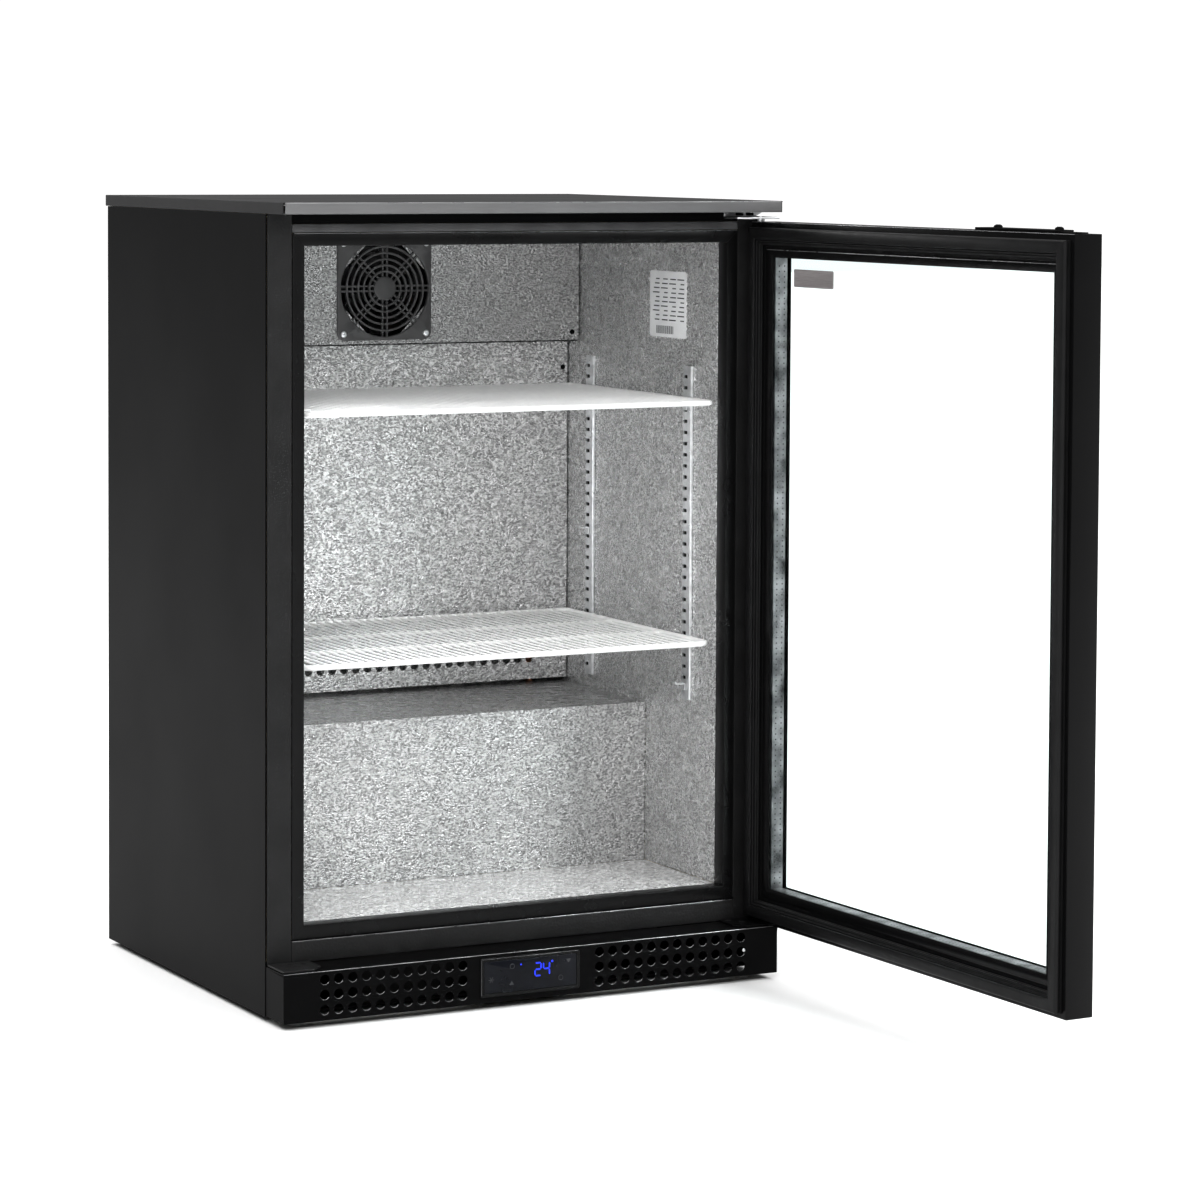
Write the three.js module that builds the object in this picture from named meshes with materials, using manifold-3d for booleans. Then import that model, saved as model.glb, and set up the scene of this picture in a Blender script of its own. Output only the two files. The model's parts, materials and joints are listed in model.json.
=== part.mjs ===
// Under-counter bottle cooler with one glass door, standing open.
// Millimetres, +Z up, +X to the right and +Y to the back as seen by a person facing the front.
// The origin is on the floor, under the middle of the cabinet.
import * as THREE from "three";
import { mergeVertices } from "three/addons/utils/BufferGeometryUtils.js";
import Module from "manifold-3d";

const wasm = await Module();
wasm.setup();

// ---------------------------------------------------------------- driving dimensions
const WIDTH = 600;
const DEPTH = 520;
const HEIGHT = 870;
const FOOT_HEIGHT = 6; // floor to the underside of the cabinet, feet screwed right in
const NOSE = 48; // how far the lid and the kick panel reach in front of the door frame seat
const LID_OVERHANG = 7; // behind the body
const LID_HEIGHT = 12.5;
const GAP = 0.3; // between touching pieces
const SKIN = 1.2; // painted sheet steel
const LINER = 1.5; // embossed aluminium sheet

const HALF = WIDTH / 2;
const NOSE_Y = -DEPTH / 2; // front of the lid and of the kick panel
const FRONT_Y = NOSE_Y + NOSE; // front face of the cabinet behind the door
const BACK_Y = DEPTH / 2 - LID_OVERHANG;
const BODY_TOP = HEIGHT - LID_HEIGHT;

// storage space
const INSIDE_HALF = 255.5;
const INSIDE_BOTTOM = 100.5;
const INSIDE_TOP = 823.2;
const BREAKER_DEPTH = 19; // how far the plastic edge strips reach inwards
const BREAKER_WIDTH = 13.9;
const BREAKER_FOOT = 15.8; // height of the strip under the opening
const STEP_Y = -28; // front of the step over the machinery
const STEP_TOP = 285;
const DUCT_Y = 173; // front of the air duct panel
const PLENUM_BACK_Y = 215;
const FAN_PANEL_Y = 144;
const FAN_PANEL_BOTTOM = 699;

// front frame, kick panel and controller
const STILE_INNER = 269.7;
const KICK_BOTTOM = 7.5;
const KICK_TOP = 60.3;
const SILL_BOTTOM = 61;
const KICK_FLANGE = 16; // how far the panel returns under itself
const VENTS = {
  pitch: 16.15,
  radius: 5.8,
  z: 34.7,
  rows: 3,
  groups: [{ from: -252, columns: 11 }, { from: 75, columns: 12 }],
};
const CONTROLLER = { x: -10, z: 35.2, width: 120.6, height: 43, depth: 28 };
const CONTROLLER_CAN = { width: 114, height: 37 };
const CONTROLLER_GLASS = { width: 111.4, height: 34.4, thickness: 0.9 };

// machinery
const MACHINE_FRONT_Y = 12;
const MACHINE_TOP = 245;
const FAN_SIZE = 120;
const FAN_DEPTH = 25;
const FAN_BORE = 56.5;
const FAN_HUB = { radius: 20, depth: 16, cup: 4 };
const FAN_BLADE = { count: 7, reach: 36, chord: 26, thickness: 2, pitch: 0.55 };
const FAN_STRUT = { depth: 3, height: 6 };
const GUARD = {
  depth: 5,
  bore: 55.8,
  disc: 14.4,
  rings: [20, 27.1, 34.2, 41.4, 48.8],
  ringHalf: 1.3,
  spokeWidth: 7.9,
  spokeDepth: 3,
};
const FAN_MOUTH = 54; // hole in the cover panel
const EVAPORATOR_FAN = { x: -1, z: 762.4 };
const CONDENSER_FAN = { x: 140, z: 102, front: 92 };
const ROTOR_INSET = 10; // rotor's middle behind the front of its housing
const DUCT_HOLES = { count: 28, pitch: 15.15, radius: 4.8, z: 314.5 };
const EVAPORATOR = { length: 360, depth: 30, height: 190, y: 194, z: 700 };
const CONDENSER = { length: 190, depth: 40, height: 170, y: 66, z: 104 };
const COIL_ROWS = 6;
const DRAIN_TRAY = { half: 195, front: 176.5, back: 213, bottom: 584, height: 14, wall: 1.5 };
const CONDENSATE_PAN = { left: 20, right: 226, front: 140, back: 235, top: 38, wall: 2 };
const COMPRESSOR = { x: -140, y: 140, wall: 5, mountX: 88, plate: { x: 95, y: 60 } };
const GRILLE = { length: 230, slot: 8, pitch: 22, rows: 8, middles: [-140, 140], lowest: 50 };
const CABLE = { x: 270, z: 30, hole: 9, sleeve: 8.5, nut: 12, bore: 4 };

// shelves and their supports
const SHELF_HALF = 251;
const SHELF_DEPTH = 358;
const SHELF_THICKNESS = 5.5;
const SHELVES = [
  { name: "upper_shelf", front: FRONT_Y + 8, top: 646 },
  { name: "lower_shelf", front: FRONT_Y + 15, top: 375 },
];
const WIRE_PITCH = 10.6;
const WIRE = 3;
const PILASTER = { width: 19, depth: 3.2, bottom: 301, top: 681, frontY: -129, rearY: 110 };
const TONGUE = { reach: 14, half: 6, thickness: 3 }; // shelf supports on each upright
const LAMP = { bottom: 412, top: 632, depth: 11, width: 14, inset: 3 }; // between the shelves

// door, in its closed place; it turns about a vertical pin near its right edge
const DOOR_ANGLE = 92.4; // how far it stands open
const DOOR_RIGHT = 298;
const DOOR_WIDTH = 596;
const DOOR_BOTTOM = 63.5;
const DOOR_TOP = 846.5;
const DOOR_THICKNESS = 34;
const DOOR_INNER_Y = FRONT_Y - 11; // inner face when closed
const RAIL = 39; // width of the door frame's members
const PIN = new THREE.Vector2(DOOR_RIGHT - 9, DOOR_INNER_Y - 7);
const PIN_RADIUS = 4;
const BEVEL_INNER = 24; // where the slope towards the glass starts, on the inner face
const BEVEL_OUTER = 28;
const REBATE = 29; // edge of the sealed glass unit
const LIP = 5; // frame in front of and behind the glass unit
const PANE = 4;
const SPACER = { inset: 2, width: 9 };
const GASKET = { inset: 6, width: 19, depth: 9.4 };
const GRIP = { from: 8, width: 16, depth: 13, length: 320, middle: 470 };
const TOP_PLATE = { from: 40, to: 176, half: 12, height: 3.2, tongue: 8 };

// ---------------------------------------------------------------- finishes
const finish = (color, roughness, metalness = 0) =>
  new THREE.MeshStandardMaterial({ color, roughness, metalness });
const black = finish(0x1c1c1e, 0.45, 0.3);
const textured = finish(0x242426, 0.6, 0.3);
const lidGrey = finish(0x2b2b2d, 0.4, 0.4);
const blackPlastic = finish(0x161617, 0.5);
const softBlack = finish(0x121213, 0.8);
const stucco = finish(0xc9cbcc, 0.35, 1);
const zinc = finish(0xb8babb, 0.4, 1);
const whiteCoat = finish(0xf2f3f2, 0.4);
const copper = finish(0xb3714a, 0.35, 1);
const foam = finish(0xe6d9b0, 0.9);
const glass = finish(0xf4fffe, 0.05);
const screen = finish(0x0a0d18, 0.1);
const lampWhite = finish(0xf6f7f8, 0.5);

// ---------------------------------------------------------------- building helpers
const fridge = new THREE.Group();

function add(name, geometry, material, parent = fridge) {
  const mesh = new THREE.Mesh(geometry, material);
  mesh.name = name;
  parent.add(mesh);
  return mesh;
}

// A box between two corners, moved to its place.
function boxBetween([x0, y0, z0], [x1, y1, z1]) {
  const box = new THREE.BoxGeometry(x1 - x0, y1 - y0, z1 - z0);
  return box.translate((x0 + x1) / 2, (y0 + y1) / 2, (z0 + z1) / 2);
}

function addBox(name, low, high, material, parent = fridge) {
  const size = high.map((v, i) => v - low[i]);
  const mesh = add(name, new THREE.BoxGeometry(...size), material, parent);
  mesh.position.set(...low.map((v, i) => v + size[i] / 2));
  return mesh;
}

// An extruded outline in the XY plane, from z = bottom up.
function prism(outline, bottom, height, curveSegments = 6) {
  const options = { depth: height, bevelEnabled: false, curveSegments };
  return new THREE.ExtrudeGeometry(outline, options).translate(0, 0, bottom);
}

function polygon(points) {
  return new THREE.Shape(points.map(([x, y]) => new THREE.Vector2(x, y)));
}

// An upright cylinder standing on z = bottom, or one lying along Y starting at y = front.
const post = (x, y, bottom, radius, height, sides = 16) =>
  new THREE.CylinderGeometry(radius, radius, height, sides)
    .rotateX(Math.PI / 2)
    .translate(x, y, bottom + height / 2);
const drum = (x, front, z, radius, depth, sides = 16) =>
  new THREE.CylinderGeometry(radius, radius, depth, sides).translate(x, front + depth / 2, z);

// three.js geometry to a solid that can be joined and cut, and back.
function solid(geometry) {
  const plain = geometry.clone();
  plain.deleteAttribute("normal");
  plain.deleteAttribute("uv");
  const merged = mergeVertices(plain, 1e-3);
  return new wasm.Manifold(
    new wasm.Mesh({
      numProp: 3,
      vertProperties: merged.attributes.position.array,
      triVerts: new Uint32Array(merged.index.array),
    }),
  );
}

function geometryOf(made) {
  const mesh = made.getMesh();
  const geometry = new THREE.BufferGeometry();
  geometry.setAttribute("position", new THREE.BufferAttribute(mesh.vertProperties, 3));
  geometry.setIndex(new THREE.BufferAttribute(mesh.triVerts, 1));
  geometry.computeVertexNormals();
  return geometry;
}

const join = (...geometries) =>
  geometryOf(geometries.map(solid).reduce((whole, piece) => whole.add(piece)));
const cut = (base, ...tools) =>
  geometryOf(tools.map(solid).reduce((whole, tool) => whole.subtract(tool), solid(base)));

// A flat ring between two rectangles of the XZ plane, from y0 to y1.
function ring([x0, z0, x1, z1], width, y0, y1) {
  return cut(
    boxBetween([x0, y0, z0], [x1, y1, z1]),
    boxBetween([x0 + width, y0 - 1, z0 + width], [x1 - width, y1 + 1, z1 - width]),
  );
}

// A round tube through a list of points.
function tube(points, radius, steps, sides = 8) {
  const path = new THREE.CatmullRomCurve3(points.map((p) => new THREE.Vector3(...p)));
  const section = [];
  for (let i = 0; i < sides; i++) {
    const turn = (i * 2 * Math.PI) / sides;
    section.push([radius * Math.cos(turn), radius * Math.sin(turn)]);
  }
  const options = { steps, extrudePath: path, bevelEnabled: false };
  return new THREE.ExtrudeGeometry(polygon(section), options);
}

// ---------------------------------------------------------------- outer shell
function outerShell() {
  for (const [name, side] of [["left_side_panel", -1], ["right_side_panel", 1]]) {
    const outer = side * HALF;
    const inner = side * (HALF - SKIN);
    addBox(
      name,
      [Math.min(outer, inner), FRONT_Y, FOOT_HEIGHT],
      [Math.max(outer, inner), BACK_Y, BODY_TOP - GAP],
      black,
    );
  }
  const rear = HALF - SKIN - GAP;
  const rearBottom = MACHINE_TOP + 6;
  addBox("rear_panel", [-rear, BACK_Y - SKIN, rearBottom], [rear, BACK_Y, BODY_TOP - GAP], black);
  const tray = cut(
    boxBetween([-HALF, NOSE_Y, BODY_TOP], [HALF, DEPTH / 2, HEIGHT]),
    boxBetween(
      [-HALF + SKIN, NOSE_Y + SKIN, BODY_TOP - 1],
      [HALF - SKIN, DEPTH / 2 - SKIN, HEIGHT - SKIN],
    ),
  );
  add("top_panel", tray, lidGrey);
}

// Foam between the skins, with the storage space and the machinery bay left free.
function insulation() {
  const clear = 2.3; // past the liner sheets
  const side = INSIDE_HALF + clear;
  const low = INSIDE_BOTTOM - clear;
  const skin = SKIN + GAP;
  const block = boxBetween(
    [-HALF + skin, FRONT_Y + 2.5, SILL_BOTTOM - 3],
    [HALF - skin, BACK_Y - skin, BODY_TOP - GAP],
  );
  const upper = boxBetween(
    [-side, FRONT_Y - 5, STEP_TOP - clear],
    [side, PLENUM_BACK_Y + clear, INSIDE_TOP + clear],
  );
  const lower = boxBetween([-side, FRONT_Y - 5, low], [side, STEP_Y + clear, STEP_TOP]);
  const machinery = boxBetween([-HALF, MACHINE_FRONT_Y, 0], [HALF, BACK_Y, MACHINE_TOP]);
  const pipeWay = post(PIPE_X, PIPE_Y, MACHINE_TOP - 5, 9, STEP_TOP - MACHINE_TOP + 5, 12);
  add("insulation", cut(block, upper, lower, machinery, pipeWay), foam);
}

// The pan is pressed up into a shallow round dish over each foot.
function basePan() {
  const sheet = 2;
  const top = FOOT_HEIGHT + sheet;
  const plate = boxBetween(
    [-HALF + SKIN + GAP, FRONT_Y + 4, FOOT_HEIGHT],
    [HALF - SKIN - GAP, BACK_Y - SKIN - GAP, top],
  );
  const dish = 20;
  const sides = 24;
  const rims = FEET.map(({ x, y }) => post(x, y, FOOT_HEIGHT, dish + 4, 2 * sheet, sides));
  const dishes = FEET.map(({ x, y }) => post(x, y, 0, dish, top, sides));
  const holes = FEET.map(({ x, y }) => post(x, y, 0, STUD_RADIUS + 0.6, dish));
  add("base_pan", cut(join(plate, ...rims), ...dishes, ...holes), black);
}

// ---------------------------------------------------------------- feet
const STUD_RADIUS = 4;
const STUD_TOP = 34;
const PAD_RADIUS = 18;
const FEET = [
  { name: "front_left_foot", x: -252, y: FRONT_Y + 36 },
  { name: "front_right_foot", x: 252, y: FRONT_Y + 36 },
  { name: "rear_left_foot", x: -252, y: BACK_Y - 40 },
  { name: "rear_right_foot", x: 252, y: BACK_Y - 40 },
];

// A round pad on a threaded stud that screws through the base pan.
function feet() {
  const pad = FOOT_HEIGHT - GAP;
  for (const { name, x, y } of FEET) {
    const profile = [
      [0, 0],
      [PAD_RADIUS - 1, 0],
      [PAD_RADIUS, 1],
      [PAD_RADIUS, pad - 1],
      [PAD_RADIUS - 1, pad],
      [STUD_RADIUS, pad],
      [STUD_RADIUS, STUD_TOP],
      [0, STUD_TOP],
    ];
    const outline = profile.map(([r, z]) => new THREE.Vector2(r, z));
    const foot = add(name, new THREE.LatheGeometry(outline, 16).rotateX(Math.PI / 2), blackPlastic);
    foot.position.set(x, y, 0);
  }
}

// ---------------------------------------------------------------- liner
function liner() {
  const front = FRONT_Y + BREAKER_DEPTH + GAP;
  const back = PLENUM_BACK_Y + LINER;
  const top = INSIDE_TOP - GAP;
  const sheet = INSIDE_HALF + LINER;
  const within = INSIDE_HALF - GAP;
  for (const [name, x] of [["liner_left_wall", -sheet], ["liner_right_wall", INSIDE_HALF]]) {
    const inFront = boxBetween([x, front, INSIDE_BOTTOM], [x + LINER, STEP_Y + LINER, top]);
    const above = boxBetween([x, front, STEP_TOP - LINER], [x + LINER, back, top]);
    add(name, join(inFront, above), stucco);
  }
  addBox("liner_ceiling", [-sheet, front, INSIDE_TOP], [sheet, back, INSIDE_TOP + LINER], stucco);
  addBox("liner_back_wall", [-within, PLENUM_BACK_Y, STEP_TOP + GAP], [within, back, top], stucco);
  addBox(
    "liner_floor",
    [-within, front, INSIDE_BOTTOM - LINER],
    [within, STEP_Y - GAP, INSIDE_BOTTOM],
    stucco,
  );
  const step = join(
    boxBetween([-within, STEP_Y, INSIDE_BOTTOM], [within, STEP_Y + LINER, STEP_TOP]),
    boxBetween([-within, STEP_Y, STEP_TOP - LINER], [within, PLENUM_BACK_Y - GAP, STEP_TOP]),
  );
  const pipeHole = solid(post(PIPE_X, PIPE_Y, STEP_TOP - 10, 9, 20, 12));
  add("liner_step", geometryOf(solid(step).subtract(pipeHole)), stucco);
}

// ---------------------------------------------------------------- front frame and breaker strips
function frontFrame() {
  const depth = 2;
  const outer = HALF - SKIN - 1;
  const top = BODY_TOP - GAP;
  const rail = STILE_INNER - GAP;
  const plate = (name, low, high) =>
    addBox(name, [low[0], FRONT_Y, low[1]], [high[0], FRONT_Y + depth, high[1]], textured);
  plate("left_stile", [-outer, SILL_BOTTOM], [-STILE_INNER, top]);
  plate("right_stile", [STILE_INNER, SILL_BOTTOM], [outer, top]);
  plate("header_rail", [-rail, INSIDE_TOP + BREAKER_WIDTH + GAP], [rail, top]);
  plate("sill_rail", [-rail, SILL_BOTTOM], [rail, INSIDE_BOTTOM - BREAKER_FOOT - GAP]);
}

// Four angle-section plastic strips, mitred, round the opening.
function breakerStrips() {
  const inner = { left: -INSIDE_HALF, right: INSIDE_HALF, low: INSIDE_BOTTOM, high: INSIDE_TOP };
  const outer = {
    left: -INSIDE_HALF - BREAKER_WIDTH,
    right: INSIDE_HALF + BREAKER_WIDTH,
    low: INSIDE_BOTTOM - BREAKER_FOOT,
    high: INSIDE_TOP + BREAKER_WIDTH,
  };
  const wall = 1.8;
  const face = FRONT_Y - 1;
  const opening = boxBetween(
    [inner.left, face - 1, inner.low],
    [inner.right, FRONT_Y + BREAKER_DEPTH + 1, inner.high],
  );
  const frame = join(
    boxBetween([outer.left, face, outer.low], [outer.right, face + wall, outer.high]),
    boxBetween(
      [inner.left - wall, face, inner.low - wall],
      [inner.right + wall, FRONT_Y + BREAKER_DEPTH, inner.high + wall],
    ),
  );
  const angle = solid(frame).subtract(solid(opening));
  const slack = 0.2; // half the gap at each mitre
  const masks = {
    left_breaker: [
      [outer.left, outer.low + slack],
      [inner.left, inner.low + slack],
      [inner.left, inner.high - slack],
      [outer.left, outer.high - slack],
    ],
    right_breaker: [
      [outer.right, outer.high - slack],
      [inner.right, inner.high - slack],
      [inner.right, inner.low + slack],
      [outer.right, outer.low + slack],
    ],
    top_breaker: [
      [outer.left + slack, outer.high],
      [inner.left + slack, inner.high],
      [inner.right - slack, inner.high],
      [outer.right - slack, outer.high],
    ],
    bottom_breaker: [
      [outer.right - slack, outer.low],
      [inner.right - slack, inner.low],
      [inner.left + slack, inner.low],
      [outer.left + slack, outer.low],
    ],
  };
  for (const [name, corners] of Object.entries(masks)) {
    const mask = prism(polygon(corners), -50, 100).rotateX(Math.PI / 2).translate(0, FRONT_Y, 0);
    add(name, geometryOf(angle.intersect(solid(mask))), blackPlastic);
  }
}

// ---------------------------------------------------------------- kick panel and controller
function ventHole(x, z) {
  return drum(x, NOSE_Y - 1, z, VENTS.radius, 4, 8);
}

function kickPanel() {
  const side = HALF - 0.7;
  const hollow = boxBetween(
    [-side + SKIN, NOSE_Y + SKIN, KICK_BOTTOM + SKIN],
    [side - SKIN, FRONT_Y, KICK_TOP - SKIN],
  );
  const openBottom = boxBetween(
    [-side + SKIN, NOSE_Y + KICK_FLANGE, KICK_BOTTOM - 1],
    [side - SKIN, FRONT_Y, KICK_BOTTOM + 2 * SKIN],
  );
  const cutout = boxBetween(
    [CONTROLLER.x - CONTROLLER_CAN.width / 2 - 1, NOSE_Y - 1, CONTROLLER.z - CONTROLLER_CAN.height / 2 - 1],
    [CONTROLLER.x + CONTROLLER_CAN.width / 2 + 1, NOSE_Y + 5, CONTROLLER.z + CONTROLLER_CAN.height / 2 + 1],
  );
  const holes = [];
  for (const { from, columns } of VENTS.groups)
    for (let column = 0; column < columns; column++)
      for (let row = 0; row < VENTS.rows; row++) {
        const rise = (row - (VENTS.rows - 1) / 2) * VENTS.pitch;
        holes.push(ventHole(from + column * VENTS.pitch, VENTS.z + rise));
      }
  const tray = boxBetween([-side, NOSE_Y, KICK_BOTTOM], [side, FRONT_Y - GAP, KICK_TOP]);
  add("kick_panel", cut(tray, hollow, openBottom, cutout, ...holes), black);
}

// A block centred on the controller in the XZ plane.
function controllerBlock({ width, height }, y0, y1) {
  const { x, z } = CONTROLLER;
  return boxBetween([x - width / 2, y0, z - height / 2], [x + width / 2, y1, z + height / 2]);
}

function controller() {
  const front = NOSE_Y - 1.8; // face of the bezel
  const back = NOSE_Y - GAP;
  const { width, height, thickness } = CONTROLLER_GLASS;
  const pocket = { width: width + 2 * GAP, height: height + 2 * GAP };
  const flange = controllerBlock(CONTROLLER, front, back);
  const can = controllerBlock(CONTROLLER_CAN, back - 0.5, NOSE_Y + CONTROLLER.depth);
  const recess = controllerBlock(pocket, front - 1, front + thickness + 0.5);
  add("controller_body", cut(join(flange, can), recess), blackPlastic);
  const glassFront = front + 0.2;
  const panel = controllerBlock(CONTROLLER_GLASS, glassFront, glassFront + thickness);
  add("controller_touch_panel", panel, screen);
}

// ---------------------------------------------------------------- hinges
const HINGE_PLATE = { outer: 298, inner: 250, chamfer: 12, thickness: 2.2, back: FRONT_Y - 1.5 };

// A plate with one chamfered corner; side is -1 on the left and 1 on the right.
function hingePlate(side, bottom) {
  const { outer, inner, chamfer, thickness, back } = HINGE_PLATE;
  const front = NOSE_Y + 4;
  const outline = [
    [side * outer, back],
    [side * outer, front],
    [side * (inner + chamfer), front],
    [side * inner, front + chamfer - 1],
    [side * inner, back],
  ];
  return prism(polygon(side > 0 ? outline.reverse() : outline), bottom, thickness);
}

function hinges() {
  const { outer, inner, thickness, back } = HINGE_PLATE;
  const plateBottom = KICK_TOP + GAP;
  add("spare_hinge_plate", hingePlate(-1, plateBottom), textured);
  const pinHeight = 14;
  const lowPin = post(PIN.x, PIN.y, plateBottom, PIN_RADIUS, thickness + pinHeight);
  add("bottom_hinge_bracket", join(hingePlate(1, plateBottom), lowPin), black);
  const upperPlate = DOOR_TOP + 3.5;
  const leg = boxBetween([inner, back - thickness, upperPlate], [outer, back, BODY_TOP - GAP]);
  const pinBottom = DOOR_TOP - 11;
  const highPin = post(PIN.x, PIN.y, pinBottom, PIN_RADIUS, upperPlate + 1 - pinBottom);
  add("top_hinge_bracket", join(hingePlate(1, upperPlate), leg, highPin), zinc);
}

// ---------------------------------------------------------------- cold air side
// A square axial fan's housing lying in the XZ plane, from y0 back.
function fanHousing(centre, y0) {
  const half = FAN_SIZE / 2;
  const body = boxBetween(
    [centre.x - half, y0, centre.z - half],
    [centre.x + half, y0 + FAN_DEPTH, centre.z + half],
  );
  const back = y0 + FAN_DEPTH;
  const bore = drum(centre.x, y0 - 1, centre.z, FAN_BORE, FAN_DEPTH + 2, 24);
  const motorCup = drum(centre.x, back - FAN_HUB.cup, centre.z, FAN_HUB.radius, FAN_HUB.cup, 16);
  const strut = (turn) =>
    new THREE.BoxGeometry(2 * FAN_BORE + 1, FAN_STRUT.depth, FAN_STRUT.height)
      .rotateY(turn)
      .translate(centre.x, back - 2, centre.z);
  const struts = [Math.PI / 4, -Math.PI / 4].map(strut);
  return geometryOf(
    [motorCup, ...struts]
      .map(solid)
      .reduce((whole, piece) => whole.add(piece), solid(body).subtract(solid(bore))),
  );
}

// Hub and seven pitched blades turning about Y, centred on the origin.
function fanRotor() {
  const { count, reach, chord, thickness, pitch } = FAN_BLADE;
  const blades = [];
  for (let i = 0; i < count; i++) {
    const blade = new THREE.BoxGeometry(reach, thickness, chord)
      .rotateX(pitch)
      .translate(reach, 0, 0)
      .rotateY((i * 2 * Math.PI) / count);
    blades.push(blade);
  }
  const { radius, depth } = FAN_HUB;
  return join(drum(0, -depth / 2, 0, radius, depth, 3 * count), ...blades);
}

function evaporatorFan() {
  const y0 = FAN_PANEL_Y + LINER + GAP;
  add("evaporator_fan_housing", fanHousing(EVAPORATOR_FAN, y0), blackPlastic);
  const rotor = add("evaporator_fan_rotor", fanRotor(), blackPlastic);
  rotor.position.set(EVAPORATOR_FAN.x, y0 + ROTOR_INSET, EVAPORATOR_FAN.z);
}

// Square plastic guard: a rim, rings and eight spokes round a solid centre.
function fanGuard() {
  const { x, z } = EVAPORATOR_FAN;
  const half = FAN_SIZE / 2;
  const { depth, bore, disc, rings, ringHalf, spokeWidth, spokeDepth } = GUARD;
  const y1 = FAN_PANEL_Y - GAP;
  const y0 = y1 - depth;
  const sides = 24;
  const rim = boxBetween([x - half, y0, z - half], [x + half, y1, z + half]);
  const round = (radius) => solid(drum(x, y0, z, radius, depth, sides));
  const hole = (radius) => solid(drum(x, y0 - 1, z, radius, depth + 2, sides));
  const hoops = rings.map((r) => round(r + ringHalf).subtract(hole(r - ringHalf)));
  const spoke = (turn) =>
    new THREE.BoxGeometry(2 * bore + 1, spokeDepth, spokeWidth)
      .rotateY(turn)
      .translate(x, y0 + depth / 2, z);
  const spokes = [0, 1, 2, 3].map((i) => solid(spoke((i * Math.PI) / 4)));
  const parts = [round(disc), ...hoops, ...spokes];
  const guard = parts.reduce(
    (whole, piece) => whole.add(piece),
    solid(rim).subtract(hole(bore)),
  );
  add("fan_guard", geometryOf(guard), blackPlastic);
}

function coldAirPanels() {
  const side = INSIDE_HALF - 1;
  const { x, z } = EVAPORATOR_FAN;
  const face = boxBetween(
    [-side, FAN_PANEL_Y, FAN_PANEL_BOTTOM],
    [side, FAN_PANEL_Y + LINER, INSIDE_TOP - GAP],
  );
  const lip = boxBetween(
    [-side, FAN_PANEL_Y, FAN_PANEL_BOTTOM],
    [side, DUCT_Y + LINER, FAN_PANEL_BOTTOM + LINER],
  );
  const mouth = drum(x, FAN_PANEL_Y - 5, z, FAN_MOUTH, 12, 24);
  const fanRoom = boxBetween(
    [x - FAN_SIZE / 2 - 1, FAN_PANEL_Y + LINER, FAN_PANEL_BOTTOM - 1],
    [x + FAN_SIZE / 2 + 1, DUCT_Y, FAN_PANEL_BOTTOM + LINER + 1],
  );
  add("fan_cover_panel", cut(join(face, lip), mouth, fanRoom), stucco);

  const holes = [];
  for (let i = 0; i < DUCT_HOLES.count; i++) {
    const along = (i - (DUCT_HOLES.count - 1) / 2) * DUCT_HOLES.pitch;
    holes.push(drum(along, DUCT_Y - 1, DUCT_HOLES.z, DUCT_HOLES.radius, 5, 8));
  }
  const duct = boxBetween(
    [-side, DUCT_Y, STEP_TOP + 5],
    [side, DUCT_Y + LINER, FAN_PANEL_BOTTOM - GAP],
  );
  add("duct_panel", cut(duct, ...holes), stucco);
}

// A finned block with the bends of its copper tube showing at both ends.
function coil({ length, depth, height }) {
  const block = new THREE.BoxGeometry(length, depth, height);
  const pitch = height / COIL_ROWS;
  const bends = [];
  for (let i = 0; i < COIL_ROWS - 1; i++) {
    const bend = new THREE.TorusGeometry(pitch / 2, 4, 6, 12)
      .rotateX(Math.PI / 2)
      .translate(((i % 2 ? -1 : 1) * length) / 2, 0, -height / 2 + pitch * (i + 1));
    bends.push(bend);
  }
  return join(block, ...bends);
}

const PIPE_X = 215;
const PIPE_Y = 194;

function evaporator() {
  const block = add("evaporator_coil", coil(EVAPORATOR), zinc);
  block.position.set(0, EVAPORATOR.y, EVAPORATOR.z);
  const { half, front, back, bottom, height, wall } = DRAIN_TRAY;
  const tray = cut(
    boxBetween([-half, front, bottom], [half, back, bottom + height]),
    boxBetween(
      [-half + wall, front + wall, bottom + wall],
      [half - wall, back - wall, bottom + height + 2],
    ),
  );
  add("drain_tray", tray, blackPlastic);
}

// ---------------------------------------------------------------- machinery
function compressor() {
  const { x, y, wall, mountX, plate } = COMPRESSOR;
  const profile = [
    [70, 0], [75, 8], [75, 120], [70, 150], [52, 168], [22, 176], [0, 177],
    [0, 177 - wall], [20, 176 - wall], [50, 168 - wall], [65, 148], [70, 120], [70, 8], [65, 0],
    [70, 0],
  ];
  const outline = profile.map(([r, z]) => new THREE.Vector2(r, z));
  const shell = new THREE.LatheGeometry(outline, 24).rotateX(Math.PI / 2);
  const base = boxBetween([-plate.x, -plate.y, -4], [plate.x, plate.y, 0.5]);
  const mounts = [-mountX, mountX].map((dx) =>
    boxBetween([dx - 7, 10 - plate.y, GAP - 8], [dx + 7, plate.y - 10, -3]),
  );
  const mesh = add("compressor", join(shell, base, ...mounts), black);
  mesh.position.set(x, y, FOOT_HEIGHT + 2 + 8);
}

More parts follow.
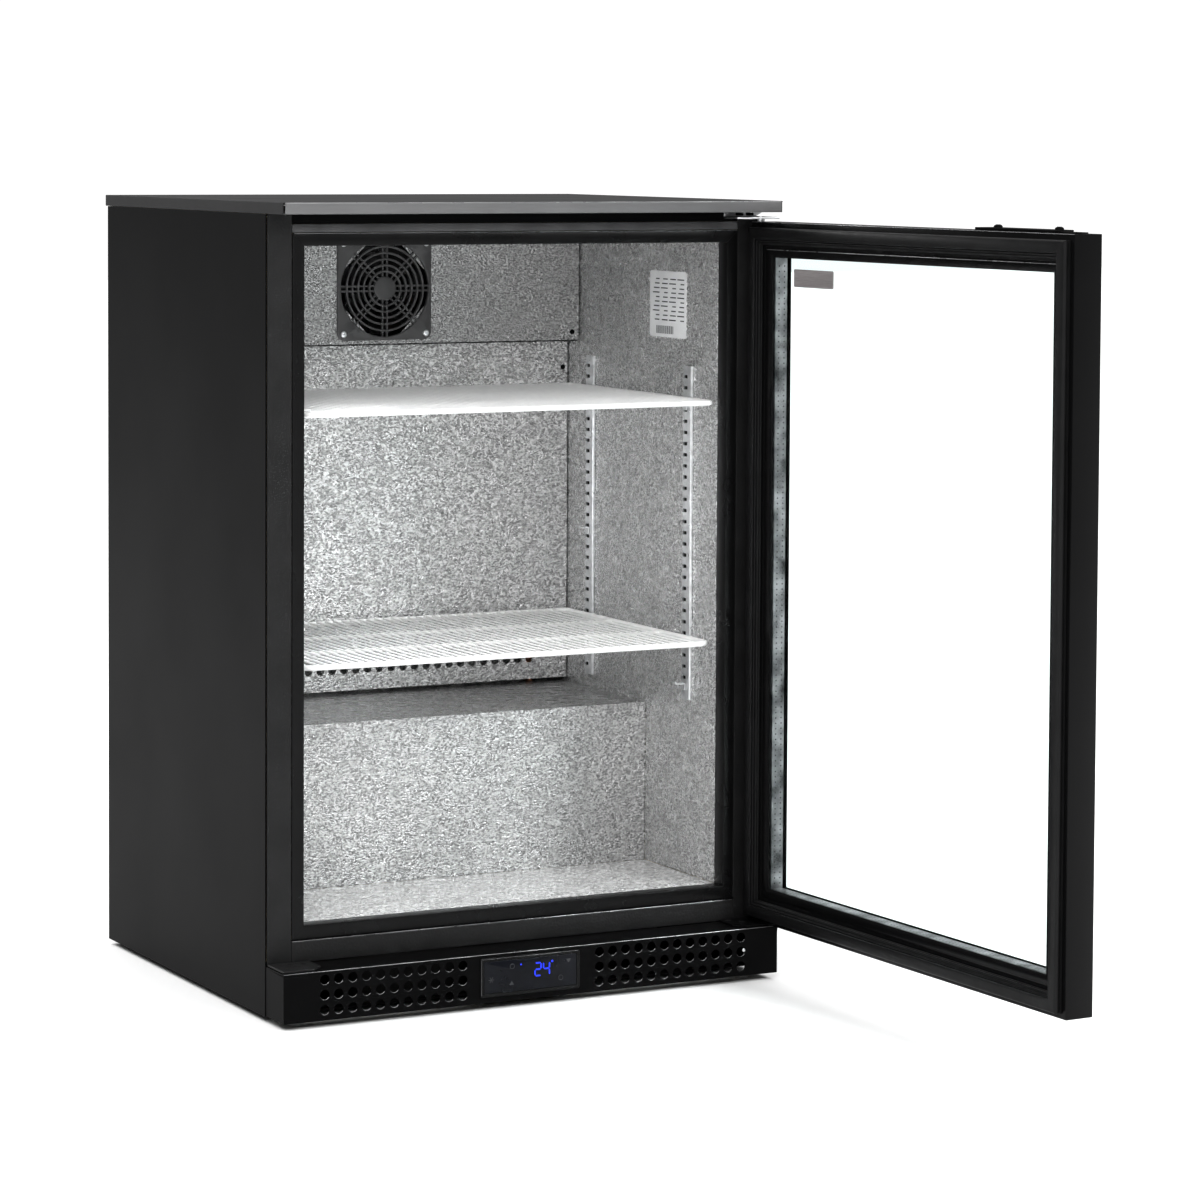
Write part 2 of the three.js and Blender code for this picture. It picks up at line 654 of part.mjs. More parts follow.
function condenser() {
  const block = add("condenser_coil", coil(CONDENSER), zinc);
  block.position.set(CONDENSER_FAN.x, CONDENSER.y, CONDENSER.z);
  const housing = fanHousing(CONDENSER_FAN, CONDENSER_FAN.front);
  add("condenser_fan_housing", housing, blackPlastic);
  const rotor = add("condenser_fan_rotor", fanRotor(), blackPlastic);
  rotor.position.set(CONDENSER_FAN.x, CONDENSER_FAN.front + ROTOR_INSET, CONDENSER_FAN.z);
  const { left, right, front, back, top, wall } = CONDENSATE_PAN;
  const bottom = FOOT_HEIGHT + 2 + GAP;
  const pan = cut(
    boxBetween([left, front, bottom], [right, back, top]),
    boxBetween([left + wall, front + wall, bottom + wall], [right - wall, back - wall, top + 2]),
  );
  add("condensate_pan", pan, blackPlastic);
}

// Copper lines: cold gas down to the compressor, hot gas across to the condenser.
function pipes() {
  const suction = [
    [PIPE_X, PIPE_Y, 690],
    [PIPE_X, PIPE_Y, 560],
    [PIPE_X, PIPE_Y, 400],
    [PIPE_X, PIPE_Y, 300],
    [PIPE_X, PIPE_Y, 240],
    [170, 205, 222],
    [40, 215, 218],
    [-35, 190, 215],
    [-63, 160, 200],
    [-67, 146, 180],
  ];
  add("suction_line", tube(suction, 4, 48), copper);
  const discharge = [
    [-59, 124, 160],
    [-45, 116, 190],
    [-15, 90, 205],
    [20, 70, 206],
    [70, 66, 206],
    [90, 66, 200],
  ];
  add("discharge_line", tube(discharge, 3, 28), copper);
}

function rearGrille() {
  const outer = HALF - SKIN - GAP;
  const plate = boxBetween(
    [-outer, BACK_Y - SKIN, FOOT_HEIGHT + 2.5],
    [outer, BACK_Y, MACHINE_TOP + 6 - GAP],
  );
  const slots = [];
  for (const x of GRILLE.middles)
    for (let row = 0; row < GRILLE.rows; row++) {
      const z = GRILLE.lowest + row * GRILLE.pitch;
      slots.push(
        boxBetween(
          [x - GRILLE.length / 2, BACK_Y - 5, z],
          [x + GRILLE.length / 2, BACK_Y + 5, z + GRILLE.slot],
        ),
      );
    }
  const bush = (front, radius, depth, sides = 16) =>
    drum(CABLE.x, front, CABLE.z, radius, depth, sides);
  const inlet = bush(BACK_Y - 5, CABLE.hole, 10);
  add("rear_grille", cut(plate, ...slots, inlet), black);
  const gland = join(
    bush(BACK_Y - 10, CABLE.sleeve, 15),
    bush(BACK_Y + GAP, CABLE.nut, 4.7, 6),
  );
  add("cable_gland", cut(gland, bush(BACK_Y - 20, CABLE.bore, 40, 12)), blackPlastic);
}

// ---------------------------------------------------------------- storage fittings
// A slotted upright's channel with the two tongues that hold the shelves.
function pilasters() {
  const { width, depth, bottom, top, frontY, rearY } = PILASTER;
  for (const [row, y] of [["front", frontY], ["rear", rearY]])
    for (const [side, sign] of [["left", -1], ["right", 1]]) {
      const wallX = sign * (INSIDE_HALF - GAP);
      const faceX = wallX - sign * depth;
      const span = (a, b) => [Math.min(a, b), Math.max(a, b)];
      const [x0, x1] = span(wallX, faceX);
      const [h0, h1] = span(wallX + sign, faceX + sign * SKIN);
      const channel = cut(
        boxBetween([x0, y - width / 2, bottom], [x1, y + width / 2, top]),
        boxBetween([h0, y - width / 2 + SKIN, bottom - 1], [h1, y + width / 2 - SKIN, top + 1]),
      );
      const tongues = SHELVES.map((shelf) => {
        const z = shelf.top - SHELF_THICKNESS - GAP;
        const [t0, t1] = span(faceX + sign * 0.6, faceX - sign * TONGUE.reach);
        return boxBetween([t0, y - TONGUE.half, z - TONGUE.thickness], [t1, y + TONGUE.half, z]);
      });
      add(`${side}_${row}_pilaster`, join(channel, ...tongues), zinc);
    }
}

// Wire shelf: a rim with rounded front corners, and wires from front to back.
function shelves() {
  const corner = 16;
  const wires = Math.floor((2 * (SHELF_HALF - WIRE)) / WIRE_PITCH);
  const first = (-wires * WIRE_PITCH) / 2;
  for (const { name, front, top } of SHELVES) {
    const back = front + SHELF_DEPTH;
    const bottom = top - SHELF_THICKNESS;
    const outline = new THREE.Shape();
    outline.moveTo(-SHELF_HALF, back);
    outline.absarc(-SHELF_HALF + corner, front + corner, corner, Math.PI, 1.5 * Math.PI, false);
    outline.absarc(SHELF_HALF - corner, front + corner, corner, -Math.PI / 2, 0, false);
    outline.lineTo(SHELF_HALF, back);
    const slots = [];
    for (let i = 0; i < wires; i++) {
      const left = first + i * WIRE_PITCH + WIRE / 2;
      const nearCorner = i === 0 || i === wires - 1;
      const near = front + (nearCorner ? corner : 5);
      slots.push(
        boxBetween(
          [left, near, bottom - 1],
          [left + WIRE_PITCH - WIRE, back - 5, top + 1],
        ),
      );
    }
    add(name, cut(prism(outline, bottom, SHELF_THICKNESS, 4), ...slots), whiteCoat);
  }
}

// An upright light strip just inside the opening, on the left wall.
function lamp() {
  const { bottom, top, depth, width, inset } = LAMP;
  const x = -INSIDE_HALF + GAP;
  const y = FRONT_Y + BREAKER_DEPTH + inset;
  const housing = boxBetween([x, y, bottom], [x + depth, y + width, top]);
  const channel = boxBetween(
    [x + inset, y + 2, bottom + 4],
    [x + depth + 1, y + width - 2, top - 4],
  );
  add("lamp_housing", cut(housing, channel), whiteCoat);
  addBox(
    "lamp_strip",
    [x + inset + 0.5, y + 2.5, bottom + 4.5],
    [x + depth - 2, y + width - 2.5, top - 4.5],
    lampWhite,
  );
}

// ---------------------------------------------------------------- door
// The door's pieces are placed in its own closed frame, measured from the hinge pin.
function door() {
  const turned = new THREE.Group();
  turned.position.set(PIN.x, PIN.y, 0);
  turned.rotation.z = THREE.MathUtils.degToRad(DOOR_ANGLE);
  fridge.add(turned);

  const right = DOOR_RIGHT - PIN.x;
  const left = right - DOOR_WIDTH;
  const inner = DOOR_INNER_Y - PIN.y; // inner face, towards the cabinet
  const outer = inner - DOOR_THICKNESS;
  const edges = [left, DOOR_BOTTOM, right, DOOR_TOP];
  const shrink = ([x0, z0, x1, z1], by) => [x0 + by, z0 + by, x1 - by, z1 - by];
  const slab = ([x0, z0, x1, z1], y0, y1) => boxBetween([x0, y0, z0], [x1, y1, z1]);

  const gripLow = GRIP.middle - GRIP.length / 2;
  const frame = cut(
    slab(edges, outer, inner),
    slab(shrink(edges, RAIL), outer - 1, inner + 1),
    slab(shrink(edges, REBATE - GAP), outer + LIP - GAP, inner - LIP + GAP),
    bevel(shrink(edges, BEVEL_INNER), shrink(edges, RAIL + 1), inner, LIP - 1),
    bevel(shrink(edges, BEVEL_OUTER), shrink(edges, RAIL + 1), outer, 1 - LIP),
    boxBetween(
      [left + GRIP.from, outer - 1, gripLow],
      [left + GRIP.from + GRIP.width, outer + GRIP.depth, gripLow + GRIP.length],
    ),
    post(0, 0, DOOR_BOTTOM - 1, PIN_RADIUS + 0.4, 15),
    post(0, 0, DOOR_TOP - 14, PIN_RADIUS + 0.4, 15),
  );
  add("door_frame", frame, black, turned);

  const [x0, z0, x1, z1] = shrink(edges, REBATE);
  const sheet = (name, y0, y1) => addBox(name, [x0, y0, z0], [x1, y1, z1], glass, turned);
  sheet("inner_glass", inner - LIP - PANE, inner - LIP);
  sheet("outer_glass", outer + LIP, outer + LIP + PANE);
  const spacerFront = outer + LIP + PANE + GAP;
  const spacerBack = inner - LIP - PANE - GAP;
  const spacerEdge = shrink(edges, REBATE + SPACER.inset);
  add("glass_spacer", ring(spacerEdge, SPACER.width, spacerFront, spacerBack), stucco, turned);

  const gasketEdge = shrink(edges, GASKET.inset);
  const gasket = ring(gasketEdge, GASKET.width, inner + GAP, inner + GASKET.depth);
  add("door_gasket", gasket, softBlack, turned);

  const plateY = inner - DOOR_THICKNESS / 2;
  const { from, to, half, height, tongue } = TOP_PLATE;
  const plate = boxBetween(
    [left + from, plateY - half, DOOR_TOP + GAP],
    [left + to, plateY + half, DOOR_TOP + height],
  );
  const tail = boxBetween(
    [left + tongue, plateY - half / 2, DOOR_TOP + GAP],
    [left + from + 1, plateY + half / 2, DOOR_TOP + height / 2],
  );
  add("door_top_plate", join(plate, tail), black, turned);
}

// The tapered slice that bevels a ring's inner edge, from a wide rectangle on the face
// at y to a narrow one a little deeper.
function bevel(wide, narrow, y, depth) {
  const points = [];
  const rectangle = ([x0, z0, x1, z1], at) => {
    points.push([x0, at, z0], [x1, at, z0], [x1, at, z1], [x0, at, z1]);
  };
  const outwards = Math.sign(depth);
  rectangle(wide, y + outwards * 0.5);
  rectangle(narrow, y - depth);
  const quads = [[0, 1, 5, 4], [1, 2, 6, 5], [2, 3, 7, 6], [3, 0, 4, 7], [3, 2, 1, 0], [4, 5, 6, 7]];
  const index = quads.flatMap(([a, b, c, d]) => [a, b, c, a, c, d]);
  const geometry = new THREE.BufferGeometry();
  geometry.setAttribute("position", new THREE.Float32BufferAttribute(points.flat(), 3));
  geometry.setIndex(outwards > 0 ? index : index.reverse());
  return geometry;
}

outerShell();
insulation();
basePan();
feet();
liner();
frontFrame();
breakerStrips();
kickPanel();
controller();
hinges();
evaporatorFan();
fanGuard();
coldAirPanels();
evaporator();
compressor();
condenser();
pipes();
rearGrille();
pilasters();
shelves();
lamp();
door();

export default fridge;
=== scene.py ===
"""Under-counter bottle cooler with its glass door open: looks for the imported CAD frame."""
import json
import math

import bmesh
import bpy
from mathutils import Matrix, Vector


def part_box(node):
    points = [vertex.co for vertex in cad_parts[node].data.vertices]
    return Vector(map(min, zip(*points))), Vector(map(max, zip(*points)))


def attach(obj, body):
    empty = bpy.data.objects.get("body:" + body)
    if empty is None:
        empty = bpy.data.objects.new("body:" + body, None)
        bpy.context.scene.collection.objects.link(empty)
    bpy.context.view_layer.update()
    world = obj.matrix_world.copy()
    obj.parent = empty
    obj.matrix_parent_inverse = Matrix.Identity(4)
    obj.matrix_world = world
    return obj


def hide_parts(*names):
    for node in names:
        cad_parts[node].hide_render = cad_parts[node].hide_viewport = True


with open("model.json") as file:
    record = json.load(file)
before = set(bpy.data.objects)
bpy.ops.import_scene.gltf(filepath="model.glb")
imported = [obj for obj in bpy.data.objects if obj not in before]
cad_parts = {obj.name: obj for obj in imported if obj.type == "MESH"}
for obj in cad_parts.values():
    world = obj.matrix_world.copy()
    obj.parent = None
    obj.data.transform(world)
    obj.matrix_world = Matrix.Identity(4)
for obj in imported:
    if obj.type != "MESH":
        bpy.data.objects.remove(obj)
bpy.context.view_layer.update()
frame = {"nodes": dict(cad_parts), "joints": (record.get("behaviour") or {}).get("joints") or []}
MM = 0.001
CABINET = "cabinet"
DOOR = "door"
LAMP_GLOW = 38.0
DIGIT_GLOW = 0.8


# ---- frame look-ups
def mm_box(node):
    """Lowest and highest corner of a CAD node in millimetres."""
    low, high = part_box(node)
    return low / MM, high / MM


def middle_of(low, high):
    return [(a + b) / 2 for a, b in zip(low, high)]


def joint(name):
    return next(j for j in frame["joints"] if j["name"] == name)


HINGE = joint("door_hinge")
PIN = Vector(HINGE["pos_m"]) / MM
OPEN_ANGLE = -math.radians(HINGE["range_deg"][0])
DOOR_PLACE = Matrix.Translation((PIN.x, PIN.y, 0)) @ Matrix.Rotation(OPEN_ANGLE, 4, "Z")


# ---- materials
class Shader:
    """A small wrapper that adds nodes to one Principled material."""

    def __init__(self, name, color, roughness, metallic=0.0):
        self.material = bpy.data.materials.new(name)
        self.material.use_nodes = True
        self.tree = self.material.node_tree
        self.surface = self.tree.nodes["Principled BSDF"]
        self.set("Metallic", metallic).set("Base Color", (*color, 1)).set("Roughness", roughness)
        self.color, self.roughness = color, roughness
        self.coords = self.add("ShaderNodeTexCoord").outputs["Object"]
        self.height = None

    def add(self, kind, **values):
        node = self.tree.nodes.new(kind)
        for key, value in values.items():
            if isinstance(value, bpy.types.NodeSocket):
                self.tree.links.new(value, node.inputs[key])
            elif key in node.inputs:
                node.inputs[key].default_value = value
            else:
                setattr(node, key, value)
        return node

    def set(self, socket, value):
        self.surface.inputs[socket].default_value = value
        return self

    def feed(self, socket, output):
        self.tree.links.new(output, self.surface.inputs[socket])
        return self

    def stretched(self, scale):
        return self.add("ShaderNodeMapping", Vector=self.coords, Scale=scale).outputs[0]

    def noise(self, scale, detail=3.0, vector=None, distortion=0.0):
        values = {"Scale": scale, "Detail": detail, "Distortion": distortion}
        return self.add("ShaderNodeTexNoise", Vector=vector or self.coords, **values).outputs["Fac"]

    def cells(self, scale, feature="F1"):
        node = self.add("ShaderNodeTexVoronoi", Vector=self.coords, Scale=scale)
        node.feature = feature
        return node.outputs["Distance"]

    def ramp(self, value, low, high, to_low, to_high):
        ends = {"From Min": low, "From Max": high, "To Min": to_low, "To Max": to_high}
        return self.add("ShaderNodeMapRange", Value=value, **ends).outputs["Result"]

    def mix(self, factor, first, second):
        node = self.add("ShaderNodeMix", data_type="RGBA")
        self.tree.links.new(factor, node.inputs[0])
        for socket, color in ((node.inputs[6], first), (node.inputs[7], second)):
            if isinstance(color, bpy.types.NodeSocket):
                self.tree.links.new(color, socket)
            else:
                socket.default_value = (*color, 1)
        return node.outputs[2]

    def mottled(self, scale, amount, other=None, vector=None):
        """Colour that drifts a little over the surface."""
        darker = tuple(c * (1 - amount) for c in self.color)
        lighter = other or tuple(min(1, c * (1 + amount)) for c in self.color)
        factor = self.ramp(self.noise(scale, vector=vector), 0.3, 0.7, 0, 1)
        return self.feed("Base Color", self.mix(factor, darker, lighter))

    def smeared(self, scale, amount):
        """Roughness that drifts a little, as wiped and handled surfaces do."""
        ends = (max(0.02, self.roughness - amount), self.roughness + amount)
        return self.feed("Roughness", self.ramp(self.noise(scale, 5.0), 0.3, 0.7, *ends))

    def bump(self, height, millimetres, strength=1.0):
        node = self.add("ShaderNodeBump", Height=height, Distance=millimetres * MM, Strength=strength)
        if self.height:
            self.tree.links.new(self.height, node.inputs["Normal"])
        self.height = node.outputs["Normal"]
        return self.feed("Normal", self.height)


def coat(name, color, roughness, metallic, specular, drift, smear, *bumps):
    """A surface whose colour and roughness drift; each bump is (scale, detail, mm, strength)."""
    made = Shader(name, color, roughness, metallic)
    made.set("Specular IOR Level", specular)
    if drift:
        made.mottled(*drift)
    if smear:
        made.smeared(*smear)
    for scale, detail, height, strength in bumps:
        made.bump(made.noise(scale, detail), height, strength)
    return made


# slot: name, colour, roughness, metallic, specular level, colour drift, roughness drift, bumps
PLAIN = 0.5
COATS = {
    "black_steel": (
        "black_powder_coat", (0.004, 0.004, 0.0042), 0.38, 0, 0.035,
        (3, 0.10), (5, 0.03), (900, 2, 0.04, 0.2),
    ),
    "lid_steel": (
        "lid_satin_coat", (0.125, 0.125, 0.127), 0.36, 0, 0.45,
        (12, 0.08), (20, 0.04), (1300, 2, 0.04, 0.3),
    ),
    "lid_side": (
        "lid_dark_satin_coat", (0.018, 0.018, 0.0185), 0.52, 0, 0.2,
        (10, 0.12), (20, 0.04), (1300, 2, 0.04, 0.3),
    ),
    "black_plastic": (
        "black_moulded_plastic", (0.0045, 0.0045, 0.0047), 0.30, 0, 0.18,
        (18, 0.15), (25, 0.05), (1100, 3, 0.04, 0.2),
    ),
    "guard_plastic": (
        "fan_guard_plastic", (0.085, 0.085, 0.086), 0.42, 0, PLAIN,
        (30, 0.15), (40, 0.06), (1300, 3, 0.06, 0.3),
    ),
    "gasket_rubber": (
        "gasket_rubber", (0.006, 0.006, 0.0063), 0.42, 0, 0.22,
        (40, 0.2), (50, 0.06), (1400, 3, 0.04, 0.25),
    ),
    "spacer": (
        "spacer_aluminium", (0.05, 0.052, 0.054), 0.36, 0.8, PLAIN,
        (45, 0.5, (0.26, 0.26, 0.265)), (60, 0.08), (700, 2, 0.05, 0.3),
    ),
    "coil_fins": (
        "coil_fin_aluminium", (0.66, 0.67, 0.69), 0.38, 1, PLAIN,
        (60, 0.15, (0.74, 0.74, 0.72)), (90, 0.1), (500, 3, 0.08, 0.3),
    ),
    "white_wire": (
        "white_wire_coat", (0.88, 0.88, 0.88), 0.34, 0, PLAIN,
        (50, 0.03, (0.90, 0.90, 0.89)), (80, 0.06), (600, 3, 0.05, 0.2),
    ),
    "display_screen": (
        "dark_touch_panel", (0.002, 0.0025, 0.005), 0.30, 0, 0.22,
        (30, 0.3, (0.003, 0.004, 0.008)), (40, 0.04), (800, 1, 0.01, 0.1),
    ),
    "copper_tube": (
        "drawn_copper", (0.72, 0.36, 0.22), 0.28, 1, PLAIN,
        (40, 0.25, (0.60, 0.30, 0.20)), (70, 0.1), (600, 3, 0.05, 0.3),
    ),
    "icons": (
        "display_icon_print", (0.032, 0.034, 0.038), 0.35, 0, PLAIN,
        (300, 0.2), None, (900, 1, 0.01, 0.1),
    ),
    "label": (
        "blank_label_film", (0.80, 0.805, 0.81), 0.42, 0, PLAIN,
        (30, 0.06, (0.84, 0.845, 0.85)), (40, 0.06), (300, 2, 0.03, 0.3),
    ),
    # painted highlight: a light metallic coat for thin lines laid along dark edges
    "edge": (
        "edge_painted_highlight", (0.16, 0.16, 0.165), 0.3, 0.7, PLAIN,
        (25, 0.35, (0.30, 0.30, 0.305)), (40, 0.08), (900, 2, 0.02, 0.2),
    ),
    # painted shade: a near-black coat for sheets and marks standing where there is only shade
    "recess": (
        "recess_painted_shade", (0.004, 0.004, 0.004), 0.7, 0, PLAIN,
        (40, 0.2), None, (500, 2, 0.05, 0.3),
    ),
    "floor": (
        "studio_floor", (0.86, 0.86, 0.86), 0.6, 0, PLAIN, (2, 0.008), None, (60, 4, 0.2, 0.05),
    ),
    "zinc_steel": (
        "zinc_plate", (0.80, 0.81, 0.82), 0.36, 1, PLAIN, (120, 0.12), (150, 0.1),
    ),
    "insulation_foam": ("insulation_foam", (0.72, 0.62, 0.38), 0.9, 0, PLAIN, (25, 0.15), None),
    "lamp_diffuser": (
        "frosted_lamp_cover", (0.92, 0.94, 0.96), 0.5, 0, PLAIN,
        (200, 0.05), None, (1200, 2, 0.05, 0.3),
    ),
    "digits": (
        "display_digit_light", (0.01, 0.02, 0.5), 0.4, 0, PLAIN, None, None, (900, 1, 0.01, 0.1),
    ),
    "door_glass": (
        "clear_float_glass", (0.955, 1.0, 1.0), 0.0, 0, PLAIN, None, None, (6, 1, 0.02, 0.04),
    ),
}
# the leather-grained coats: name and grey level; the header copy is a lighter grey as painted light, for the
# strip catching the light
LEATHERS = {"textured_steel": ("black_leather_coat", 0.013), "header_steel_painted_light": ("leather_coat_painted_light", 0.090)}
# the embossed liner sheets: name, shade and how metallic they look; the floor copy is lighter as painted
# light, the step and fan cover copies darker as painted shade
STUCCOS = {
    "stucco_aluminium": ("stucco_aluminium", 1.0, 0.72),
    "stucco_floor_painted_light": ("stucco_aluminium_floor_painted_light", 1.04, 0.30),
    "stucco_step_painted_shade": ("stucco_aluminium_step_painted_shade", 0.74, 0.72),
    "stucco_painted_shade": ("stucco_aluminium_painted_shade", 0.66, 0.72),
}


def leather_grain(name, level):
    made = coat(name, (level, level, level * 1.02), 0.46, 0, 0.24, (30, 0.18), (60, 0.06))
    made.bump(made.cells(420, "SMOOTH_F1"), 0.35, 0.5)
    return made.bump(made.noise(1500, 2), 0.06, 0.25)


def stucco_emboss(name, shade, metallic):
    """Short level worms pressed into the sheet, with painted shade darkening their grooves."""
    made = Shader(name, (0.84 * shade,) * 3, 0.27, metallic)
    worms = made.noise(330, 1, made.stretched((1, 1, 1.7)), 0.4)
    worms = made.ramp(worms, 0.35, 0.63, 0, 1)
    drift = made.ramp(made.noise(9, 2), 0.3, 0.7, 0, 1)
    ridges = made.mix(drift, (0.82 * shade,) * 3, (0.95 * shade,) * 3)
    # painted shade: the worm grooves take a much darker colour than the ridges
    embossed = made.mix(worms, (0.32 * shade,) * 3, ridges)
    made.feed("Base Color", embossed).smeared(60, 0.05)
    return made.bump(worms, 0.6, 0.95).bump(made.noise(1200, 2), 0.03, 0.15)


def door_coat():
    made = coat("door_profile_coat", (0.0035, 0.0035, 0.0037), 0.22, 0, 0.15, (5, 0.12), (8, 0.03))
    along = made.stretched((1, 1, 0.05))
    return made.bump(made.noise(500, 2, along), 0.02, 0.15)


def badge_metal():
    made = Shader("blank_badge_metal", (0.30, 0.28, 0.28), 0.42, 0.4)
    brushed = made.stretched((1, 1, 30))
    made.mottled(60, 0.15, vector=brushed).smeared(60, 0.08)
    return made.bump(made.noise(400, 2, brushed), 0.03, 0.3)


def make_materials():
    made = {slot: coat(*values) for slot, values in COATS.items()}
    made.update((slot, leather_grain(*values)) for slot, values in LEATHERS.items())
    made.update((slot, stucco_emboss(*values)) for slot, values in STUCCOS.items())
    made["door_profile"] = door_coat()
    made["badge"] = badge_metal()
    zinc, foam = made["zinc_steel"], made["insulation_foam"]
    zinc.bump(zinc.cells(260), 0.04, 0.3)
    foam.bump(foam.cells(500), 0.5, 0.6)
    for slot, color, strength in (
        ("lamp_diffuser", (0.97, 0.98, 1.0, 1), LAMP_GLOW), ("digits", (0.0, 0.05, 1.0, 1), DIGIT_GLOW),
    ):
        made[slot].set("Emission Color", color).set("Emission Strength", strength)
    made["door_glass"].set("Transmission Weight", 1.0).set("IOR", 1.08)
    return {slot: shader.material for slot, shader in made.items()}


MATERIALS = make_materials()


# ---- mesh helpers, in millimetres
def add_object(name, data):
    made = bpy.data.objects.new(name, data)
    bpy.context.scene.collection.objects.link(made)
    return made


def finished_mesh(name, bm):
    mesh = bpy.data.meshes.new(name)
    bm.to_mesh(mesh)
    bm.free()
    return mesh


def add_face(bm, points):
    bm.faces.new([bm.verts.new(p) for p in points])


def piece(name, bm, slot, body=CABINET, nodes=(), bevel=0.0, segments=2, place=None, look=None):
    """Turns a bmesh into a piece of the model: metres, smooth where it is round, riding on a body."""
    bmesh.ops.remove_doubles(bm, verts=bm.verts, dist=1e-4)
    bmesh.ops.recalc_face_normals(bm, faces=bm.faces)
    if place:
        bm.transform(place)
    bm.transform(Matrix.Scale(MM, 4))
    return mesh_piece(name, finished_mesh(name, bm), slot, body, nodes, bevel, segments, look)


def mesh_piece(name, mesh, slot, body, nodes=(), bevel=0.0, segments=2, look=None):
    for face in mesh.polygons:
        face.use_smooth = True
    mesh.set_sharp_from_angle(angle=math.radians(38))
    made = add_object(name, mesh)
    mesh.materials.clear()
    mesh.materials.append(MATERIALS[look or slot])
    if bevel:
        edge = made.modifiers.new("edge", "BEVEL")
        edge.width = bevel * MM
        edge.segments = segments
        edge.limit_method = "ANGLE"
        edge.angle_limit = math.radians(40)
        edge.harden_normals = True
    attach(made, body)
    if nodes:
        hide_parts(*nodes)
    return made


def cad_copy(node, slot, body=CABINET, bevel=0.5, segments=2, change=None):
    """The CAD shape with its edges rounded, as a piece that replaces the node."""
    bm = bmesh.new()
    bm.from_mesh(frame["nodes"][node].data)
    bmesh.ops.remove_doubles(bm, verts=bm.verts, dist=1e-6)
    bmesh.ops.dissolve_limit(bm, angle_limit=math.radians(0.5), verts=bm.verts, edges=bm.edges)
    if change:
        for vert in bm.verts:
            change(vert.co)
    mesh = finished_mesh(node, bm)
    return mesh_piece(node + "_skin", mesh, slot, body, (node,), bevel, segments)


def add_box(bm, low, high):
    low, high = Vector(low), Vector(high)
    for vert in bmesh.ops.create_cube(bm, size=1.0)["verts"]:
        vert.co = Vector(low[i] + (vert.co[i] + 0.5) * (high[i] - low[i]) for i in range(3))


def add_loops(bm, loops, cap=False):
    """Skins a list of closed point loops with the same number of points."""
    rings = [[bm.verts.new(p) for p in loop] for loop in loops]
    count = len(rings[0])
    for a, b in zip(rings, rings[1:]):
        for i in range(count):
            j = (i + 1) % count
            bm.faces.new((a[i], a[j], b[j], b[i]))
    if cap:
        bm.faces.new(rings[0][::-1])
        bm.faces.new(rings[-1])


def circle(radius, sides, start=0.0):
    turns = [start + 2 * math.pi * i / sides for i in range(sides)]
    return [(radius * math.cos(t), radius * math.sin(t)) for t in turns]


def corner_arc(cx, cy, radius, start, steps):
    """A quarter turn of points about (cx, cy) from the start angle."""
    turns = [start + k * math.pi / 2 / steps for k in range(steps + 1)]
    return [(cx + radius * math.cos(t), cy + radius * math.sin(t)) for t in turns]


def rounded_rectangle(width, height, radius, steps=4):
    """Points anticlockwise from the lower left corner, with steps + 1 on each corner's arc."""
    points = []
    for corner, (sx, sz) in enumerate(((-1, -1), (1, -1), (1, 1), (-1, 1))):
        cx, cz = sx * (width / 2 - radius), sz * (height / 2 - radius)
        points += corner_arc(cx, cz, radius, math.pi + corner * math.pi / 2, steps)
    return points


def rounded_square(half, corner, count):
    """Points at even turns round a square, to pair with circle()."""
    points = []
    edge = half - corner
    for c, s in circle(1.0, count):
        reach = half / max(abs(c), abs(s))
        if min(abs(c), abs(s)) * reach > edge:
            along = (abs(c) + abs(s)) * edge
            reach = along + math.sqrt(along**2 - 2 * edge**2 + corner**2)
        points.append((c * reach, s * reach))
    return points


def add_lathe(bm, profile, centre, axis="Z", sides=32):
    """Profile of (radius, height) turned about an axis along Z or Y through the centre."""
    centre = Vector(centre)
    loops = []
    for radius, height in profile:
        ring = circle(max(radius, 0.01), sides)
        loops.append([centre + Vector((x, y, height) if axis == "Z" else (x, height, y)) for x, y in ring])
    add_loops(bm, loops, cap=True)


def smooth_path(points, steps):
    """Catmull-Rom points through a list of places."""
    places = [Vector(p) for p in points]
    ends = [2 * places[0] - places[1], *places, 2 * places[-1] - places[-2]]
    path = []
    for i in range(1, len(ends) - 2):
        a, b, c, d = ends[i - 1 : i + 3]
        for k in range(steps):
            t = k / steps
            curve = 2 * b + (c - a) * t + (2 * a - 5 * b + 4 * c - d) * t * t
            path.append(0.5 * (curve + (3 * b - a - 3 * c + d) * t**3))
    return path + [places[-1]]


def add_tube(bm, points, radius, sides=10, closed=False):
    points = [Vector(p) for p in points]
    count = len(points)
    loops = []
    side = None
    for i, point in enumerate(points):
        before = points[i - 1] if closed or i else point
        after = points[(i + 1) % count] if closed or i + 1 < count else point
        ahead = (after - before).normalized()
        if side is None:
            helper = Vector((0, 0, 1)) if abs(ahead.z) < 0.9 else Vector((1, 0, 0))
            side = ahead.cross(helper).normalized()
        side = (side - ahead * side.dot(ahead)).normalized()
        other = ahead.cross(side)
        loops.append([point + side * x + other * y for x, y in circle(radius, sides)])
    if closed:
        loops.append(loops[0])
    add_loops(bm, loops, cap=not closed)


def add_prism(bm, outline, place):
    """A closed outline of (a, b) points; place(a, b, end) gives each end's points."""
    loops = [[place(a, b, end) for a, b in outline] for end in (0, 1)]
    add_loops(bm, loops, cap=True)


